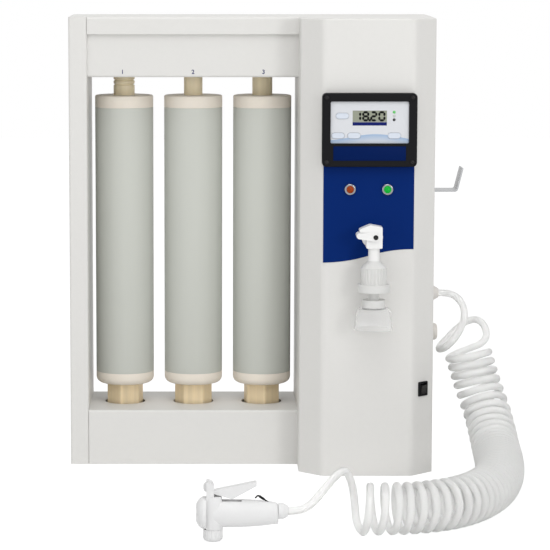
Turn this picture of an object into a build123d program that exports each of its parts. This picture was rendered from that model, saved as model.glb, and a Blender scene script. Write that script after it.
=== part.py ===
from build123d import *
import math
import os

# Laboratory water purifier: a folded-sheet frame with an open bay for three cartridges, a cabinet with
# a proud front cover, an outlet with a capsule filter, and a coiled hose that ends in a dispensing gun.
# Millimetres, +Z up, the front faces -Y, origin at the middle of the base of the frame.

# Shared clearances
CUT = 4.0
FIT = 0.3
PRESS = 0.05

# Frame
UNIT_W = 490.0
UNIT_H = 610.0
FRAME_D = 152.0
SHEET = 1.5
BEND_R = 3.0
UPRIGHT_W = 25.0
CABINET_W = 180.0
BAYS = 3
HEADER_H = 81.0
TOP_BAND_H = 23.0
PANEL_RECESS = 6.0
BASE_H = 75.0
SHELF_HOLE_D = 56.0
PAN_FLANGE = 14.0

# Cartridges
CARTRIDGE_GAP = 15.0
CARTRIDGE_WALL = 3.0
TOP_CAP_H = 16.5
TOP_CAP_R = 2.5
LOW_CAP_H = 16.5
LOW_CAP_R = 9.0
CAP_PLUG = 10.0
NECK_SHOW = 27.5
NECK_D = (29.0, 25.5, 27.5)
NECK_SHOULDER_R = 2.5
NECK_GROOVE_Z = 13.5
NECK_GROOVE_W = 1.6
NECK_GROOVE_DEPTH = 2.0
SPIGOT_D = 22.0
SPIGOT_L = 43.0
O_RING_SECTION = 2.6
O_RING_STEPS = (27.0, 34.0)
O_RING_STAND = 0.2
LOW_SPIGOT_D = 30.0
LOW_SPIGOT_L = 10.0
LOW_COLLAR_D = 36.0
LOW_COLLAR_H = 4.7
NOSE_D = 16.0
NOSE_L = 17.0

# Union nuts
NUT_SHOW = 27.0
NUT_FLATS = 45.0
NUT_H = 39.7
NUT_WEB = 4.7
NUT_EDGE = 1.2
NUT_TURNS = (18.0, 0.0, -21.0)
HEX_SIDES = 6

# Head sockets and base ports
LIFT_ROOM = 19.0
SOCKET_D = 40.0
SOCKET_FLANGE_D = 50.0
SOCKET_FLANGE_H = 4.0
SOCKET_CROWN = 5.0
HEAD_HOLE_D = 33.0
PORT_STUB_D = 38.0
PORT_FOOT_D = 66.0
PORT_FOOT_H = 5.0
PORT_BORE_SPARE = 8.0
BARB_D = 12.0
BARB_L = 18.0

# Front cover
COVER_D = 80.0
FACET = 30.0
COVER_SIDE_R = 5.0
COVER_FRONT_R = 12.0
COVER_EDGE_R = 1.8

# Meter
BEZEL_W = 125.0
BEZEL_H = 97.0
BEZEL_T = 12.0
BEZEL_R = 6.0
BEZEL_EDGE_R = 1.6
BEZEL_DROP = 97.0
WINDOW_W = 103.0
WINDOW_H = 55.0
WINDOW_DROP = 11.0
WINDOW_R = 2.0
BEZEL_LIP = 3.0
BEZEL_REBATE = 2.5
STRIP_W = 96.0
STRIP_H = 19.5
STRIP_RISE = 8.0
STRIP_DEPTH = 1.0
BEZEL_SCREW_INSET = 6.0
BEZEL_SCREW_D = 6.0
BEZEL_SCREW_HEAD = 1.6
BEZEL_SCREW_SINK = 1.2
FACE_T = 2.5
METER_CASE_W = 92.0
METER_CASE_H = 46.0
METER_CASE_D = 30.0
LCD_W = 45.0
LCD_H = 15.0
LCD_X = 0.0
LCD_DROP = 12.0
LCD_SINK = 0.8
LCD_T = 1.6
KEY_W = 17.0
KEY_H = 7.5
KEY_X = (-41.5, -20.5, 32.5, -36.0)
KEY_RISE = (10.0, 10.0, 10.0, 36.0)
KEY_T = 4.0
KEY_PROUD = 0.9
KEY_ROOM = 1.0
LEDS = 3
LED_D = 4.0
LED_X = 32.0
LED_DROP = 14.0
LED_PITCH = 5.0
LED_T = 1.6
LED_PROUD = 0.5

# Overlay and pilot lamps
OVERLAY_W = 120.0
OVERLAY_T = 0.4
OVERLAY_TUCK = 9.0
OVERLAY_DROP = 322.0
OVERLAY_RISE = 18.0
LAMP_RING_D = 15.0
LAMP_RING_T = 3.6
LAMP_BARREL_D = 12.0
LAMP_BARREL_L = 14.0
LAMP_LENS_D = 10.0
LAMP_CROWN = 2.2
LAMP_SPREAD = 49.4
LAMP_DROP = 224.5
LAMP_LENS_L = 6.0

# Outlet
OUTLET_OFF_CENTRE = 5.0
OUTLET_REACH = 38.0
VALVE_W = 21.0
VALVE_D = 20.0
VALVE_DROP = 298.0
VALVE_H = 31.0
VALVE_EDGE_R = 1.6
HOOD_REACH = 9.0
HOOD_DROP = 6.0
HOOD_T = 4.0
STEM_D = 14.0
STEM_RISE = 10.0
STEM_FLANGE_D = 28.0
STEM_FLANGE_T = 3.0
STEM_BACK = 12.0
SPOUT_D = 15.0
SPOUT_L = 17.0
PIVOT_RISE = 15.0
PIVOT_OFF = 1.5
PIVOT_D = 3.2
PIVOT_HEAD_D = 6.4
PIVOT_HEAD_T = 1.2
LEVER_REACH = 25.0
LEVER_HUB_D = 11.0
LEVER_TIP_H = 7.6
LEVER_CHEEK_T = 3.0
LEVER_BAR = 9.0
LEVER_TIP_RISE = 1.7
PIN_GAP = 0.08

# Capsule filter and bell
FILTER_D = 34.0
FILTER_SHOULDER_H = 9.0
FILTER_H = 22.0
FILTER_FLANGE_D = 42.0
FILTER_FLANGE_H = 10.0
FILTER_WAIST_D = 14.0
FILTER_WAIST_H = 10.5
FILTER_FOOT_D = 30.0
FILTER_FOOT_H = 10.0
FILTER_RIBS = 24
FILTER_RIB_D = 1.6
BELL_TOP_D = 44.0
BELL_LOW_D = 51.0
BELL_H = 29.0
BELL_WALL = 1.8
BELL_CROWN_R = 6.0

# Power switch on the right facet
SWITCH_W = 18.0
SWITCH_H = 19.5
SWITCH_T = 2.0
SWITCH_RIM = 2.6
SWITCH_DEPTH = 18.0
SWITCH_Z = 116.0
SWITCH_R = 1.5
ROCKER_PROUD = 2.6
ROCKER_DEPTH = 7.0
ROCKER_DISH = 1.6
ROCKER_ROOM = 3.0
ROCKER_TILT = 9.0
ROCKER_AXLE_D = 3.0

# Hook and ports on the right side
HOOK_W = 40.0
HOOK_T = 2.0
HOOK_TAB = 25.0
HOOK_REACH = 35.0
HOOK_UP = 31.0
HOOK_LEAN = 14.0
HOOK_BEND_R = 4.0
HOOK_Z = 374.0
SIDE_BACK = 26.0
HOSE_PORT_Z = 233.5
FEED_PORT_Z = 180.0
PORT_D = 23.0
PORT_COLLAR = 4.0
PORT_CONE = 9.0
PORT_NOSE_D = 12.5
PORT_SHANK_D = 16.0
PORT_SHANK_L = 14.0
FEED_BORE_D = 9.7
FEED_BORE_L = 16.0
FEED_ROUND_R = 4.0
FEED_L = 12.0

# Hose
HOSE_D = 9.5
HOSE_STRAIGHT = 13.0
COIL_R = 27.2
COIL_GAP = 1.0
COIL_OPEN_SHARE = 1.06
COIL_OPEN_L = 105.0
COIL_LOOSE_SHARE = 1.56
COIL_LOOSE_L = 48.0
STEPS_PER_TURN = 4
MARKS_PER_TURN = 36
RUN_SHARE = 0.45

# Dispensing gun, placed by its flow knob on the bench
GUN_X = -52.0
GUN_FORWARD = 458.0
KNOB_D = 23.5
KNOB_H = 14.2
KNOB_ROUND_R = 5.0
KNOB_RIBS = 14
KNOB_RIB_D = 2.4
KNOB_STEM_D = 8.0
KNOB_STEM_L = 8.5
HEAD_D = 28.0
HEAD_TOP_D = 23.0
HEAD_H = 40.0
HEAD_WAIST_SHARE = 0.55
DISC_D = 39.0
DISC_RIM = 4.0
DISC_CROWN = 8.0
DISC_Z = 34.0
DISC_SEAT = 8.0
ROSE_HOLES = 8
ROSE_HOLE_D = 2.2
ROSE_RING_D = 22.0
ROSE_HOLE_DEPTH = 3.0
EAR_X = -6.0
EAR_Z = 65.3
EAR_D = 14.4
EAR_T = 4.0
EAR_FOOT = 22.0
GRIP_Z = 33.5
GRIP_REACH = 78.0
GRIP_ROOT_W = 29.0
GRIP_ROOT_H = 33.0
GRIP_MID_W = 28.0
GRIP_MID_H = 32.0
GRIP_END_W = 23.0
GRIP_END_H = 25.0
GRIP_MID_SHARE = 0.6
GRIP_END_R = 5.0
LIP_T = 7.0
LIP_H = 8.0
TRIGGER_W = 12.0
TRIGGER_HUB_D = 11.0
TRIGGER_REACH = 58.0
TRIGGER_TIP_H = 5.0
TRIGGER_RISE = 7.0
TRIGGER_ROOT = 5.0
TRIGGER_ROOT_DROP = 4.0
TRIGGER_HEEL = 29.0
TRIGGER_HEEL_DROP = 14.0
TRIGGER_EDGE_R = 1.4
TRIGGER_PIN_D = 3.2
POCKET_DEPTH_Z = 43.0
POCKET_REACH = 40.0
POCKET_GAP = 0.4
GUN_NUT_L = 11.5
GUN_NUT_D = 19.0
GUN_NUT_END_D = 12.5
GUN_NUT_SHANK_D = 12.0
GUN_NUT_SHANK_L = 8.0
GUN_NUT_Z = 36.0
WIRE_D = 1.8
WIRE_PIN_D = 2.0
WIRE_PIN_L = 8.4
WIRE_PIVOT_X = 69.0
WIRE_PIVOT_Z = 44.8
WIRE_REACH = 15.4
WIRE_RISE = 10.2
WIRE_HOOK = 3.3
WIRE_BEND_R = 1.6
WIRE_SLOT_L = 9.5
WIRE_SLOT_BACK = 2.4

# Inside the cabinet
PUMP_D = 84.0
PUMP_L = 96.0
PUMP_HEAD_D = 66.0
PUMP_HEAD_L = 30.0
PUMP_FOOT_H = 14.0
PUMP_FOOT_W = 70.0
PUMP_PORT_D = 14.0
PUMP_PORT_L = 16.0
PUMP_CLEAR = 8.0
PUMP_FINS = 7
PUMP_FIN_W = 3.0
PUMP_FIN_D = 4.0
SUPPLY_W = 110.0
SUPPLY_H = 90.0
SUPPLY_D = 40.0
SUPPLY_Z = 190.0
SUPPLY_FINS = 9
SUPPLY_FIN_D = 8.0
BOARD_W = 110.0
BOARD_H = 90.0
BOARD_T = 1.6
BOARD_Z = 340.0
POST_D = 6.0
POST_L = 10.0
POST_INSET = 7.0
CHIP_SIZE = 22.0
CHIP_T = 3.5
RELAY_W = 16.0
RELAY_T = 14.0
SOLENOID_Z = 330.0
SOLENOID_BODY = 28.0
SOLENOID_L = 44.0
SOLENOID_COIL_D = 30.0
SOLENOID_COIL_H = 34.0
SOLENOID_FOOT_T = 3.0
CELL_D = 22.0
CELL_L = 40.0
CELL_HEX = 26.0
CELL_HEX_L = 9.0
INLET_W = 48.0
INLET_H = 28.0
INLET_T = 3.0
INLET_BODY_W = 30.0
INLET_BODY_H = 22.0
INLET_BODY_D = 24.0
INLET_SOCKET_W = 25.0
INLET_SOCKET_H = 17.0
INLET_SOCKET_D = 16.0
INLET_PIN_W = 2.0
INLET_PIN_H = 4.0
INLET_PIN_PITCH = 7.0
INLET_Z = 70.0
INLET_OFF = 45.0

# Places worked out from the sizes above
FRONT_Y = -FRAME_D / 2
BACK_Y = FRAME_D / 2
LEFT_X = -UNIT_W / 2
RIGHT_X = UNIT_W / 2
BAY_X0 = LEFT_X + UPRIGHT_W
BAY_X1 = RIGHT_X - CABINET_W
BAY_PITCH = (BAY_X1 - BAY_X0) / BAYS
CABINET_X = RIGHT_X - CABINET_W / 2
HEADER_Z = UNIT_H - HEADER_H
CARTRIDGE_D = BAY_PITCH - CARTRIDGE_GAP
CARTRIDGE_LOW_Z = BASE_H + NUT_SHOW
CARTRIDGE_TOP_Z = HEADER_Z - NECK_SHOW
CARTRIDGE_X = tuple(BAY_X0 + BAY_PITCH * (bay + 1 / 2) for bay in range(BAYS))
COVER_Y = FRONT_Y - COVER_D
BEZEL_TOP_Z = UNIT_H - BEZEL_DROP
BEZEL_Z = BEZEL_TOP_Z - BEZEL_H / 2
WINDOW_Z = BEZEL_TOP_Z - WINDOW_DROP - WINDOW_H / 2
OUTLET_X = CABINET_X + OUTLET_OFF_CENTRE
OUTLET_Y = COVER_Y - OUTLET_REACH
OVERLAY_LEFT_Z = UNIT_H - OVERLAY_DROP
VALVE_Z = UNIT_H - VALVE_DROP
STEM_Z = VALVE_Z + STEM_RISE
PIVOT_Z = VALVE_Z + PIVOT_RISE
SPOUT_Z = VALVE_Z - SPOUT_L
SIDE_Y = FRONT_Y + SIDE_BACK
PUMP_Y = BACK_Y - INLET_BODY_D - PUMP_CLEAR - PUMP_L / 2
GUN_Y = FRONT_Y - GUN_FORWARD
LOW_COLLAR_Z = CARTRIDGE_LOW_Z - LOW_SPIGOT_L
O_RING_D = SPIGOT_D + 2 * O_RING_STAND
FILTER_LOW_Z = SPOUT_Z - FILTER_SHOULDER_H - FILTER_H - FILTER_FLANGE_H - FILTER_WAIST_H - FILTER_FOOT_H
ROCKER_W = SWITCH_W - 3 * SWITCH_RIM
ROCKER_H = SWITCH_H - 3 * SWITCH_RIM
HOSE_START = Vector(RIGHT_X + PORT_COLLAR + PORT_CONE, SIDE_Y, HOSE_PORT_Z)
HOSE_END = Vector(GUN_X + GRIP_REACH + GUN_NUT_L, GUN_Y, GUN_NUT_Z)

# Planes: the cover's front face and its right facet, local x along the face, local y up, normal outwards
FRONT = Plane(origin=(CABINET_X, COVER_Y, 0), x_dir=(1, 0, 0), z_dir=(0, -1, 0))
METER_FRONT = FRONT * Pos(0, WINDOW_Z, BEZEL_T - BEZEL_LIP)
SWITCH_FACE = Plane(
    origin=(RIGHT_X - FACET / 2, COVER_Y + FACET / 2, SWITCH_Z), x_dir=(1, 1, 0), z_dir=(1, -1, 0))
SIDE = Plane(origin=(RIGHT_X, SIDE_Y, 0), x_dir=(0, 1, 0), z_dir=(1, 0, 0))
OUTLET = Plane(origin=(OUTLET_X, OUTLET_Y, 0), x_dir=(1, 0, 0), z_dir=(0, -1, 0))
GUN = Plane(origin=(GUN_X, GUN_Y, 0), x_dir=(1, 0, 0), z_dir=(0, -1, 0))
UP_FROM = (Align.CENTER, Align.CENTER, Align.MIN)


def turned(points):
    """A solid of revolution about Z from (radius, height) points."""
    return revolve(Plane.XZ * make_face(Polyline(*points, close=True)), Axis.Z)


def rod(diameter, length):
    """A round bar that stands on the XY plane."""
    return Cylinder(diameter / 2, length, align=UP_FROM)


def ring(outer, inner, length):
    """A plain tube that stands on the XY plane."""
    return rod(outer, length) - Pos(0, 0, -CUT) * rod(inner, length + 2 * CUT)


def block(width, depth, height):
    """A box that stands on the XY plane."""
    return Box(width, depth, height, align=UP_FROM)


def slab(width, height, corner, thickness):
    """A plate with rounded corners on the XY plane."""
    return extrude(RectangleRounded(width, height, corner), thickness)


# Sheet-metal frame


def section_between(points, rounded, x_from, x_to):
    """A hollow folded section along X from (y, z) points, the corners in rounded bent at BEND_R."""
    outline = make_face(Polyline(*points, close=True))
    bends = [Vector(*p) for p in rounded]
    corners = [v for v in outline.vertices() if min((Vector(v) - p).length for p in bends) < PRESS]
    outline = fillet(corners, BEND_R)
    wall = outline - offset(outline, -SHEET)
    return Pos(x_from, 0, 0) * extrude(Plane.YZ * wall, x_to - x_from)


def left_upright():
    """Box section at the left, closed at the top."""
    outer = Pos(BAY_X0 - UPRIGHT_W / 2, 0, 0) * block(UPRIGHT_W, FRAME_D, UNIT_H)
    bends = outer.edges().filter_by(Axis.Z)
    outer = fillet(bends.group_by(Axis.X)[0] + bends.group_by(Axis.Y)[0].sort_by(Axis.X)[-1:], BEND_R)
    room = block(UPRIGHT_W - 2 * SHEET, FRAME_D - 2 * SHEET, UNIT_H - SHEET + CUT)
    return outer - Pos(BAY_X0 - UPRIGHT_W / 2, 0, -CUT) * room


def header_shell():
    """Header section: a top band over a set-back panel, with a hole over each cartridge."""
    band_z = UNIT_H - TOP_BAND_H
    panel_y = FRONT_Y + PANEL_RECESS
    points = [(BACK_Y, UNIT_H), (FRONT_Y, UNIT_H), (FRONT_Y, band_z), (panel_y, band_z),
              (panel_y, HEADER_Z), (BACK_Y, HEADER_Z)]
    shell = section_between(points, (points[1], points[4]), BAY_X0, BAY_X1)
    for x in CARTRIDGE_X:
        shell -= Pos(x, 0, HEADER_Z - CUT) * rod(HEAD_HOLE_D, 2 * CUT)
    return shell


def base_shell():
    """Base section: apron, shelf with a hole under each cartridge, and back wall, open below."""
    points = [(FRONT_Y, 0), (FRONT_Y, BASE_H), (BACK_Y, BASE_H), (BACK_Y, 0)]
    shell = section_between(points, points[1:3], BAY_X0, BAY_X1)
    width = BAY_X1 - BAY_X0
    shell -= Pos((BAY_X0 + BAY_X1) / 2, 0, -CUT) * block(width + 2 * CUT, FRAME_D - 2 * SHEET, 2 * CUT)
    for x in CARTRIDGE_X:
        shell -= Pos(x, 0, BASE_H - CUT) * rod(SHELF_HOLE_D, 2 * CUT)
    return shell


def base_pan():
    """Bottom pan with turned-up flanges, between the apron and the back wall."""
    width = BAY_X1 - BAY_X0
    depth = FRAME_D - 2 * SHEET - 2 * PRESS
    pan = block(width, depth, PAN_FLANGE)
    pan -= Pos(0, 0, SHEET) * block(width + 2 * CUT, depth - 2 * SHEET, PAN_FLANGE + CUT)
    return Pos((BAY_X0 + BAY_X1) / 2, 0, 0) * pan


def cabinet_shell():
    """Cabinet wrapper of two sides, top and floor, with the openings for the ports."""
    room = block(CABINET_W - 2 * SHEET, FRAME_D + 2 * CUT, UNIT_H - 2 * SHEET)
    shell = Pos(CABINET_X, 0, 0) * (block(CABINET_W, FRAME_D, UNIT_H) - Pos(0, 0, SHEET) * room)
    for z in (HOSE_PORT_Z, FEED_PORT_Z):
        shell -= SIDE * Pos(0, z, -CUT) * rod(PORT_SHANK_D + 2 * PRESS, 2 * CUT)
    return shell


def back_panel():
    """Plate that closes the cabinet's back, flush with its edges, with the opening for the mains inlet."""
    height = UNIT_H - 2 * SHEET - 2 * PRESS
    panel = block(CABINET_W - 2 * SHEET - 2 * PRESS, SHEET, height)
    panel = Pos(CABINET_X, BACK_Y - SHEET / 2, SHEET + PRESS) * panel
    hole = block(INLET_BODY_W + 2 * PRESS, 2 * CUT, INLET_BODY_H + 2 * PRESS)
    return panel - Pos(CABINET_X - INLET_OFF, BACK_Y, INLET_Z - INLET_BODY_H / 2 - PRESS) * hole


def cover_outline(inset, back):
    """The cover's plan, drawn in by inset all round and run past the frame by back."""
    slip = inset * math.tan(math.radians(45 / 2))
    half = CABINET_W / 2 - inset
    front = COVER_Y + inset
    side_y = COVER_Y + FACET + slip
    front_x = CABINET_W / 2 - FACET - slip
    points = [(-half, FRONT_Y + back), (-half, side_y), (-front_x, front), (front_x, front), (half, side_y),
              (half, FRONT_Y + back)]
    outline = make_face(Polyline(*points, close=True))
    rows = outline.vertices().group_by(Axis.Y)
    outline = fillet(rows[0], COVER_FRONT_R - inset)
    rows = [v for v in outline.vertices() if abs(v.Y - side_y) < PRESS]
    return Pos(CABINET_X, 0) * fillet(rows, COVER_SIDE_R - inset)


def front_cover():
    """Folded cover with 45 degree facets, open at the back, with its cut-outs."""
    outer = extrude(cover_outline(0, 0), UNIT_H)
    rim = [e for e in outer.edges().group_by(Axis.Z)[-1] if e.center().Y < FRONT_Y - PRESS]
    outer = fillet(rim, COVER_EDGE_R)
    cover = outer - Pos(0, 0, SHEET) * extrude(cover_outline(SHEET, CUT), UNIT_H - 2 * SHEET)
    case = block(METER_CASE_W + 2 * FIT, 2 * CUT, METER_CASE_H + 2 * FIT)
    cover -= Pos(CABINET_X, COVER_Y, WINDOW_Z - METER_CASE_H / 2 - FIT) * case
    for x in (-LAMP_SPREAD / 2, LAMP_SPREAD / 2):
        cover -= FRONT * Pos(x, UNIT_H - LAMP_DROP, -CUT) * rod(LAMP_BARREL_D + 2 * PRESS, 2 * CUT)
    cover -= FRONT * Pos(OUTLET_OFF_CENTRE, STEM_Z, -CUT) * rod(STEM_D + 2 * PRESS, 2 * CUT)
    mouth = block(SWITCH_W - SWITCH_RIM + 2 * PRESS, SWITCH_H - SWITCH_RIM + 2 * PRESS, 2 * CUT)
    return cover - SWITCH_FACE * Pos(0, 0, -CUT) * mouth


# Cartridges


def cartridge_tube():
    """Grey tube between the two caps."""
    low = CARTRIDGE_LOW_Z + LOW_CAP_H
    return Pos(0, 0, low) * ring(
        CARTRIDGE_D, CARTRIDGE_D - 2 * CARTRIDGE_WALL, CARTRIDGE_TOP_Z - TOP_CAP_H - low)


def cartridge_plug():
    """The part of a cap that fills the tube's end."""
    return rod(CARTRIDGE_D - 2 * CARTRIDGE_WALL - 2 * PRESS, CAP_PLUG)


def cartridge_top_cap(bay):
    """Top cap with its neck and the O-ring spigot that enters the head socket."""
    cap = fillet(rod(CARTRIDGE_D, TOP_CAP_H).edges().group_by(Axis.Z)[-1], TOP_CAP_R)
    cap += Pos(0, 0, -CAP_PLUG) * cartridge_plug()
    neck_d = NECK_D[bay]
    neck = fillet(rod(neck_d, NECK_SHOW).edges().group_by(Axis.Z)[-1], NECK_SHOULDER_R)
    if neck_d == max(NECK_D):
        waist = ring(neck_d + CUT, neck_d - 2 * NECK_GROOVE_DEPTH, NECK_GROOVE_W)
        neck -= Pos(0, 0, NECK_GROOVE_Z) * waist
    spigot = rod(SPIGOT_D, NECK_SHOW + SPIGOT_L)
    spigot = fillet(spigot.edges().group_by(Axis.Z)[-1], NECK_SHOULDER_R)
    seat = ring(SPIGOT_D + CUT, O_RING_D - 2 * O_RING_SECTION - 2 * PRESS, O_RING_SECTION + 2 * PRESS)
    for step in O_RING_STEPS:
        spigot -= Pos(0, 0, NECK_SHOW + step - O_RING_SECTION / 2 - PRESS) * seat
    return Pos(0, 0, CARTRIDGE_TOP_Z - TOP_CAP_H) * (cap + Pos(0, 0, TOP_CAP_H) * (neck + spigot))


def cartridge_o_rings(x):
    """The two O-rings on the spigot of the cartridge at x."""
    one = Torus((O_RING_D - O_RING_SECTION) / 2, O_RING_SECTION / 2)
    return Compound(children=[Pos(x, 0, HEADER_Z + step) * one for step in O_RING_STEPS])


def cartridge_low_cap():
    """Bottom cap with its round edge, and the collared spigot that the union nut hangs on."""
    cap = fillet(rod(CARTRIDGE_D, LOW_CAP_H).edges().group_by(Axis.Z)[0], LOW_CAP_R)
    cap += Pos(0, 0, LOW_CAP_H) * cartridge_plug()
    cap += Pos(0, 0, -LOW_SPIGOT_L) * rod(LOW_SPIGOT_D, LOW_SPIGOT_L)
    cap += Pos(0, 0, -LOW_SPIGOT_L) * rod(LOW_COLLAR_D, LOW_COLLAR_H)
    cap += Pos(0, 0, -LOW_SPIGOT_L - NOSE_L) * rod(NOSE_D, NOSE_L)
    return Pos(0, 0, CARTRIDGE_LOW_Z) * cap


def union_nut(bay):
    """Hexagonal nut that turns on the collar of the bottom cap."""
    nut = extrude(RegularPolygon(NUT_FLATS / 2, HEX_SIDES, major_radius=False), NUT_H)
    rims = nut.edges().group_by(Axis.Z)
    nut = chamfer(rims[0] + rims[-1], NUT_EDGE)
    nut -= Pos(0, 0, -CUT) * rod(LOW_SPIGOT_D + 2 * FIT, NUT_H + 2 * CUT)
    nut -= Pos(0, 0, -CUT) * rod(PORT_STUB_D + 2 * FIT, NUT_H - NUT_WEB + CUT)
    return Pos(0, 0, CARTRIDGE_LOW_Z - FIT - NUT_H) * Rot(0, 0, NUT_TURNS[bay]) * nut


def head_socket(bay):
    """Cup inside the header that takes the neck and its O-rings, with a hose barb on top."""
    bore_z = LIFT_ROOM
    height = SPIGOT_L + LIFT_ROOM + SOCKET_CROWN
    socket = rod(SOCKET_D, height) + rod(SOCKET_FLANGE_D, SOCKET_FLANGE_H)
    socket -= Pos(0, 0, -CUT) * rod(NECK_D[bay] + 2 * FIT, bore_z + CUT)
    socket -= rod(SPIGOT_D + 2 * FIT, height - SOCKET_CROWN)
    barb = Rot(-90, 0, 0) * rod(BARB_D, SOCKET_D / 2 + BARB_L)
    barb -= Pos(0, 0, -BARB_D) * rod(SOCKET_D, 2 * BARB_D)
    socket += Pos(0, 0, height - BARB_D) * barb
    return Pos(CARTRIDGE_X[bay], 0, HEADER_Z + SHEET) * socket


def base_port(bay):
    """Stub that stands on the pan and takes the nose of the bottom cap."""
    height = LOW_COLLAR_Z - SHEET - FIT
    port = rod(PORT_STUB_D, height) + rod(PORT_FOOT_D, PORT_FOOT_H)
    barb_z = height - NOSE_L - PORT_BORE_SPARE - BARB_D
    port += Pos(0, 0, barb_z) * Rot(-90, 0, 0) * rod(BARB_D, PORT_STUB_D / 2 + BARB_L)
    bore = NOSE_L + PORT_BORE_SPARE
    port -= Pos(0, 0, height - bore) * rod(NOSE_D + 2 * FIT, bore + CUT)
    return Pos(CARTRIDGE_X[bay], 0, SHEET) * port


# Meter on the cover


def bezel_corners():
    """The places of the four bezel screws on the cover's face."""
    return GridLocations(
        BEZEL_W - 2 * BEZEL_SCREW_INSET, BEZEL_H - 2 * BEZEL_SCREW_INSET, 2, 2).locations


def meter_bezel():
    """Black frame with its window, the shallow seat of the strip plate and a rebate over the overlay."""
    frame = slab(BEZEL_W, BEZEL_H, BEZEL_R, BEZEL_T)
    frame = fillet(frame.faces().sort_by(Axis.Z)[-1].edges(), BEZEL_EDGE_R)
    window_y = WINDOW_Z - BEZEL_Z
    frame -= Pos(0, window_y, -CUT) * slab(WINDOW_W, WINDOW_H, WINDOW_R, BEZEL_T + 2 * CUT)
    seat = block(WINDOW_W + 2 * BEZEL_REBATE, WINDOW_H + 2 * BEZEL_REBATE, BEZEL_T - BEZEL_LIP + CUT)
    frame -= Pos(0, window_y, -CUT) * seat
    strip_y = STRIP_RISE + STRIP_H / 2 - BEZEL_H / 2
    frame -= Pos(0, strip_y, BEZEL_T - STRIP_DEPTH) * block(STRIP_W, STRIP_H, STRIP_DEPTH + CUT)
    for corner in bezel_corners():
        frame -= corner * Pos(0, 0, BEZEL_T - BEZEL_SCREW_SINK) * rod(BEZEL_SCREW_D + 2 * FIT, CUT)
    tuck = block(OVERLAY_W + 2 * FIT, OVERLAY_TUCK + FIT + CUT, OVERLAY_T + PRESS + CUT)
    tuck_y = (OVERLAY_TUCK + FIT - CUT - BEZEL_H) / 2
    frame -= Pos(0, tuck_y, -CUT) * tuck
    return FRONT * Pos(0, BEZEL_Z, 0) * frame


def meter_screws():
    """Pan heads in the corners of the bezel."""
    head = fillet(rod(BEZEL_SCREW_D, BEZEL_SCREW_HEAD).edges().group_by(Axis.Z)[-1], BEZEL_SCREW_HEAD / 2)
    seat = FRONT * Pos(0, BEZEL_Z, BEZEL_T - BEZEL_SCREW_SINK)
    return [seat * corner * head for corner in bezel_corners()]


def key_place(key):
    """Middle of a key on the front of the meter face, from the window's lower edge."""
    return Pos(KEY_X[key], KEY_RISE[key] - WINDOW_H / 2, 0)


def led_place(row):
    """Middle of an LED on the front of the meter face, counted from the top."""
    return Pos(LED_X, WINDOW_H / 2 - LED_DROP - row * LED_PITCH, 0)


def lcd_place():
    """Middle of the LCD on the front of the meter face."""
    return Pos(LCD_X, WINDOW_H / 2 - LCD_DROP - LCD_H / 2, 0)


def meter_face():
    """White front plate and the case behind it that passes through the cover, with seats for its parts."""
    face = Pos(0, 0, -FACE_T) * block(
        WINDOW_W + 2 * (BEZEL_REBATE - PRESS), WINDOW_H + 2 * (BEZEL_REBATE - PRESS), FACE_T)
    face += Pos(0, 0, -FACE_T - METER_CASE_D) * block(METER_CASE_W, METER_CASE_H, METER_CASE_D)
    face -= lcd_place() * Pos(0, 0, -LCD_SINK - LCD_T) * block(LCD_W, LCD_H, LCD_SINK + LCD_T + CUT)
    pocket = KEY_T - KEY_PROUD + KEY_ROOM
    for key in range(len(KEY_X)):
        well = extrude(SlotOverall(KEY_W + 2 * FIT, KEY_H + 2 * FIT), pocket + CUT)
        face -= key_place(key) * Pos(0, 0, -pocket) * well
    for row in range(LEDS):
        face -= led_place(row) * Pos(0, 0, LED_PROUD - LED_T) * rod(LED_D, LED_T + CUT)
    return METER_FRONT * face


def meter_lcd():
    """Display glass, sunk in the meter face."""
    return METER_FRONT * lcd_place() * Pos(0, 0, -LCD_SINK - LCD_T) * block(LCD_W, LCD_H, LCD_T)


def meter_key(key):
    """Oval key that travels into its well in the meter face."""
    cap = extrude(SlotOverall(KEY_W, KEY_H), KEY_T)
    cap = fillet(cap.faces().sort_by(Axis.Z)[-1].edges(), KEY_PROUD / 2)
    return METER_FRONT * key_place(key) * Pos(0, 0, KEY_PROUD - KEY_T) * cap


def meter_leds():
    """Column of three small lamps on the meter face."""
    led = fillet(rod(LED_D, LED_T).edges().group_by(Axis.Z)[-1], LED_PROUD)
    return Compound(
        children=[METER_FRONT * led_place(row) * Pos(0, 0, LED_PROUD - LED_T) * led for row in range(LEDS)])


# Overlay and pilot lamps


def front_overlay():
    """Blue film on the cover, with a plain S-shaped lower edge."""
    half = OVERLAY_W / 2
    top = BEZEL_Z - BEZEL_H / 2 + OVERLAY_TUCK
    low = Vector(-half, OVERLAY_LEFT_Z)
    middle = Vector(0, OVERLAY_LEFT_Z + OVERLAY_RISE / 2)
    high = Vector(half, OVERLAY_LEFT_Z + OVERLAY_RISE)
    first = TangentArc(low, middle, tangent=(1, 0))
    second = TangentArc(middle, high, tangent=first % 1)
    sides = Polyline(high, (half, top), (-half, top), low)
    film = extrude(make_face([first, second, *sides.edges()]), OVERLAY_T)
    for x in (-LAMP_SPREAD / 2, LAMP_SPREAD / 2):
        film -= Pos(x, UNIT_H - LAMP_DROP, -CUT) * rod(LAMP_BARREL_D + 2 * PRESS, 2 * CUT)
    film -= Pos(OUTLET_OFF_CENTRE, STEM_Z, -CUT) * rod(STEM_FLANGE_D + 2 * PRESS, 2 * CUT)
    return FRONT * film


def lamp_place(side):
    """Seat of a pilot lamp on the overlay, side -1 at the left and 1 at the right."""
    return FRONT * Pos(side * LAMP_SPREAD / 2, UNIT_H - LAMP_DROP, OVERLAY_T)


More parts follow.
